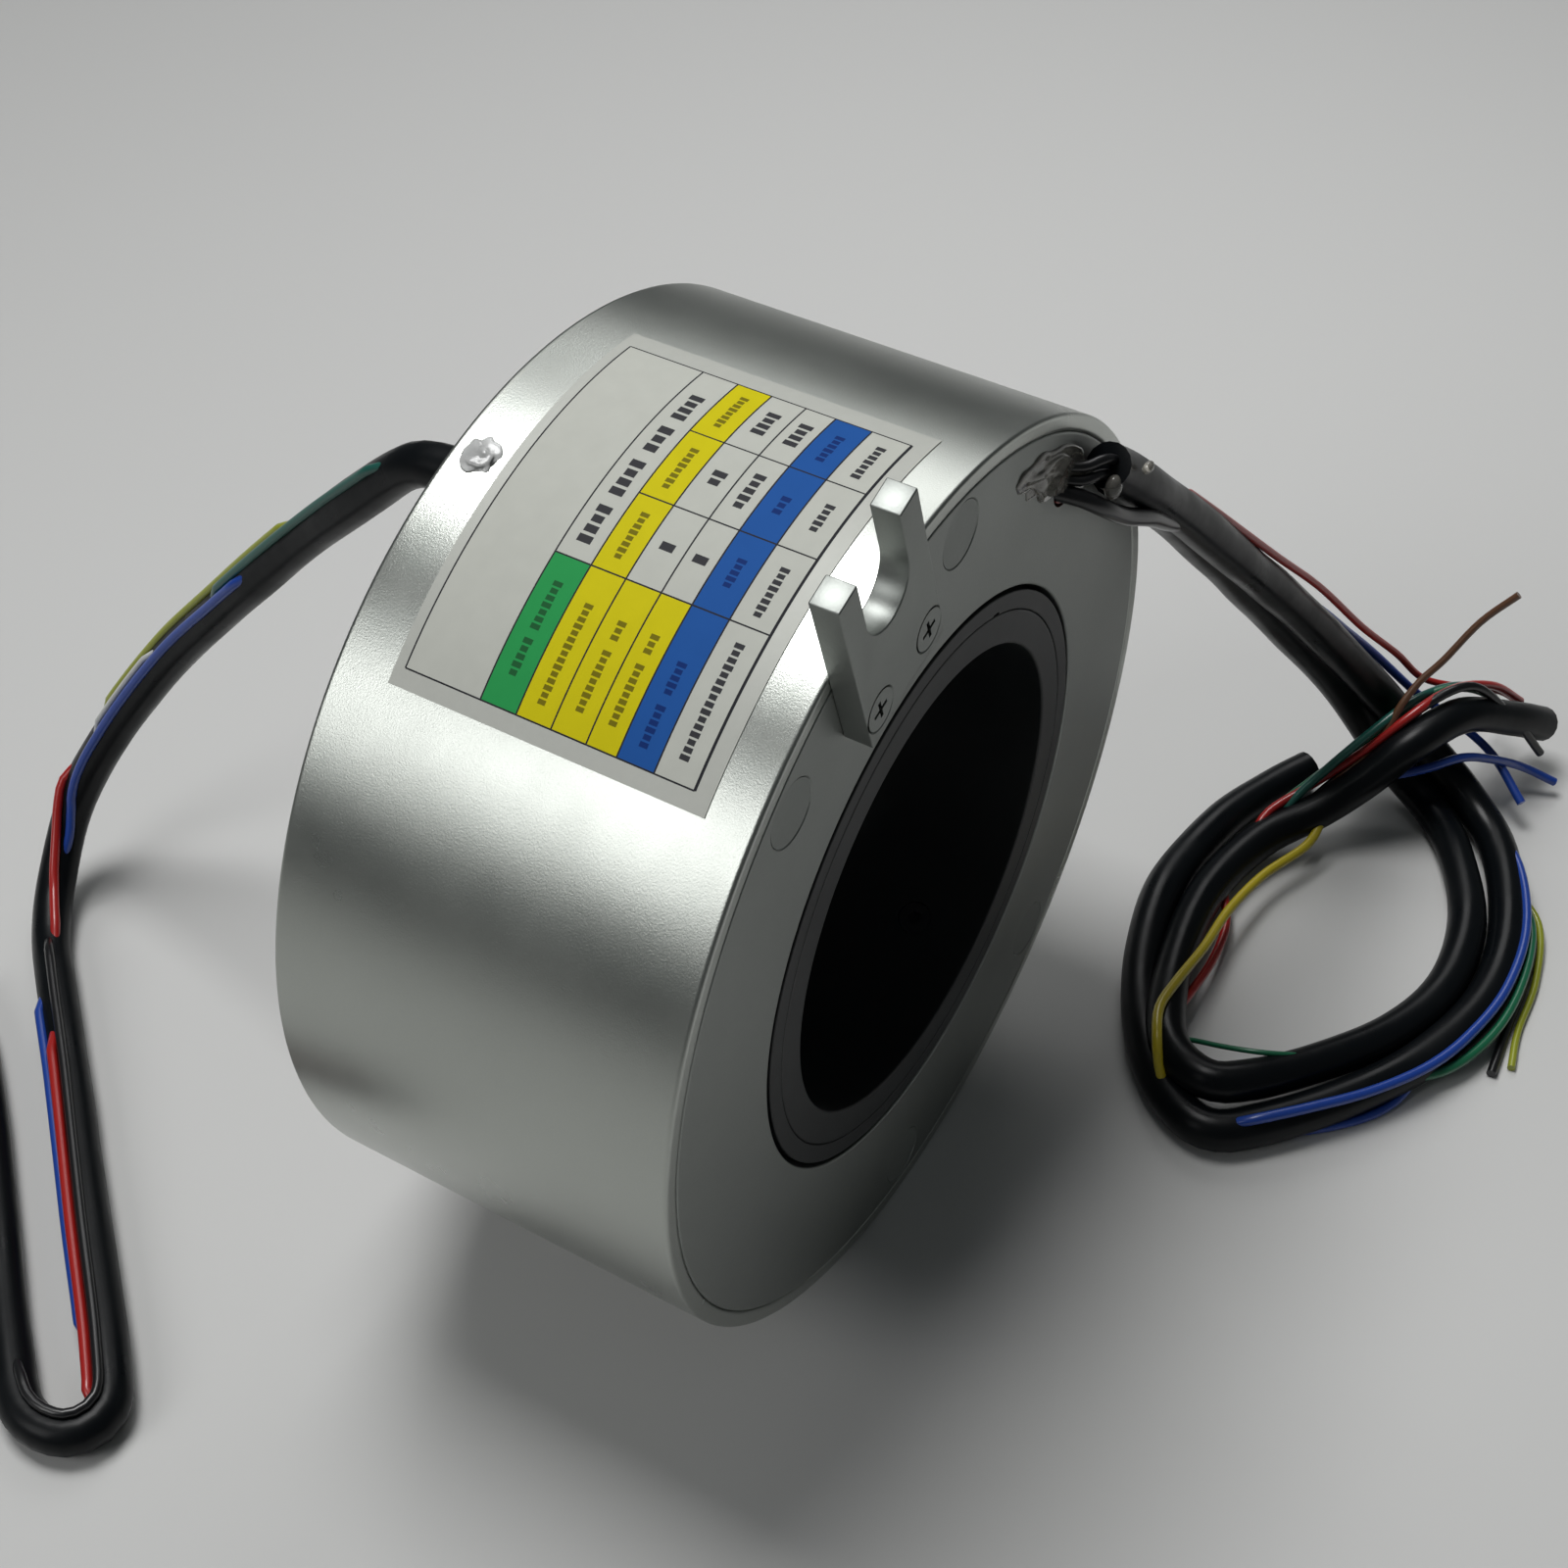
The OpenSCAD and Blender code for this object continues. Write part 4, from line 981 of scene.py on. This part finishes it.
def make_stage():
    """Camera, floor, lights and world."""
    make_camera()
    bm = bmesh.new()
    bmesh.ops.create_grid(bm, x_segments=1, y_segments=1, size=4.0)
    bm.transform(Matrix.Translation((0, 0, FLOOR_Z * MM)))
    floor = finish_mesh(bm, "floor", shader("floor_paint", FLOOR_COLOUR, 0.0, 0.9)[0])
    key = make_light("key", (-0.72, 0.41, 0.57), (0, 0.03, 0), (0.42, 0.52), 0.38, 70)
    side = make_light("side", (0.56, 0.50, 0.84), (0, 0.03, 0), (0.5, 0.5), 0.6)
    top = make_light("top", (0.12, 0.36, 1.08), (0.08, -0.04, 0), (0.5, 0.5), 3.3, 110)
    right = make_light("right", (0.62, 0.24, 0.50), (0.14, -0.04, -0.068), (0.36, 0.36), 0.13, 60)
    world = bpy.context.scene.world or bpy.data.worlds.new("world")
    bpy.context.scene.world = world
    world.use_nodes = True
    background = world.node_tree.nodes["Background"]
    background.inputs["Color"].default_value = (*WORLD_COLOUR, 1)
    background.inputs["Strength"].default_value = WORLD_STRENGTH
    bpy.context.scene.view_settings.view_transform = "Standard"


# ---------------------------------------------------------------- operators and panel

class SLIPRING_OT_housing(bpy.types.Operator):
    """Build the housing tube and both caps"""
    bl_idname = "slipring.housing"
    bl_label = "Housing"

    def execute(self, context):
        make_housing(finishes(context), values_of(context.scene.slipring_housing))
        make_side_glue(finishes(context))
        return {"FINISHED"}


class SLIPRING_OT_tab(bpy.types.Operator):
    """Build the fork-shaped torque tab"""
    bl_idname = "slipring.tab"
    bl_label = "Torque tab"

    def execute(self, context):
        make_tab(finishes(context))
        return {"FINISHED"}


class SLIPRING_OT_label(bpy.types.Operator):
    """Build the label with its colour fields"""
    bl_idname = "slipring.label"
    bl_label = "Label"

    def execute(self, context):
        radius = values_of(context.scene.slipring_housing).radius
        make_label(finishes(context), values_of(context.scene.slipring_label), radius)
        return {"FINISHED"}


class SLIPRING_OT_rotor(bpy.types.Operator):
    """Build the hollow rotor and its collar"""
    bl_idname = "slipring.rotor"
    bl_label = "Rotor"

    def execute(self, context):
        make_rotor(finishes(context), values_of(context.scene.slipring_rotor))
        return {"FINISHED"}


class SLIPRING_OT_balls(bpy.types.Operator):
    """Build the balls of both bearings"""
    bl_idname = "slipring.balls"
    bl_label = "Balls"

    def execute(self, context):
        make_balls(finishes(context), values_of(context.scene.slipring_bearings))
        return {"FINISHED"}


class SLIPRING_OT_leads(bpy.types.Operator):
    """Lay both leads and their wires"""
    bl_idname = "slipring.leads"
    bl_label = "Leads"

    def execute(self, context):
        make_leads(finishes(context), values_of(context.scene.slipring_leads))
        return {"FINISHED"}


class SLIPRING_OT_glue(bpy.types.Operator):
    """Smear the glue round the stator wires"""
    bl_idname = "slipring.glue"
    bl_label = "Glue"

    def execute(self, context):
        make_glue(finishes(context))
        return {"FINISHED"}


class SLIPRING_OT_stage(bpy.types.Operator):
    """Set up camera, floor, lights and world"""
    bl_idname = "slipring.stage"
    bl_label = "Stage"

    def execute(self, context):
        make_stage()
        return {"FINISHED"}


OPERATORS = (SLIPRING_OT_stage, SLIPRING_OT_housing, SLIPRING_OT_tab, SLIPRING_OT_label, SLIPRING_OT_rotor,
             SLIPRING_OT_balls, SLIPRING_OT_leads, SLIPRING_OT_glue)


class SLIPRING_PT_panel(bpy.types.Panel):
    """Slip ring builder"""
    bl_label = "Slip Ring"
    bl_idname = "SLIPRING_PT_panel"
    bl_space_type = "VIEW_3D"
    bl_region_type = "UI"
    bl_category = "Slip Ring"

    def draw(self, context):
        for operator in OPERATORS:
            self.layout.operator(operator.bl_idname)


SETTINGS = {"slipring_housing": HousingSettings, "slipring_rotor": RotorSettings,
            "slipring_bearings": BearingSettings, "slipring_label": LabelSettings,
            "slipring_leads": LeadSettings, "slipring_finish": FinishSettings}
CLASSES = (*SETTINGS.values(), *OPERATORS, SLIPRING_PT_panel)


def register():
    """Adds the settings, the operators and the panel."""
    for cls in CLASSES:
        bpy.utils.register_class(cls)
    for name, cls in SETTINGS.items():
        setattr(bpy.types.Scene, name, bpy.props.PointerProperty(type=cls))


def unregister():
    """Takes the settings, the operators and the panel away."""
    for name in SETTINGS:
        delattr(bpy.types.Scene, name)
    for cls in reversed(CLASSES):
        bpy.utils.unregister_class(cls)


def main():
    """Builds everything."""
    register()
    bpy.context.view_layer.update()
    bpy.ops.slipring.stage()
    bpy.ops.slipring.leads()
    bpy.ops.slipring.glue()
    bpy.ops.slipring.housing()
    bpy.ops.slipring.tab()
    bpy.ops.slipring.label()
    bpy.ops.slipring.rotor()
    bpy.ops.slipring.balls()
    dress(finishes(bpy.context))
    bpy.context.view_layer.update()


if __name__ == "__main__":
    main()
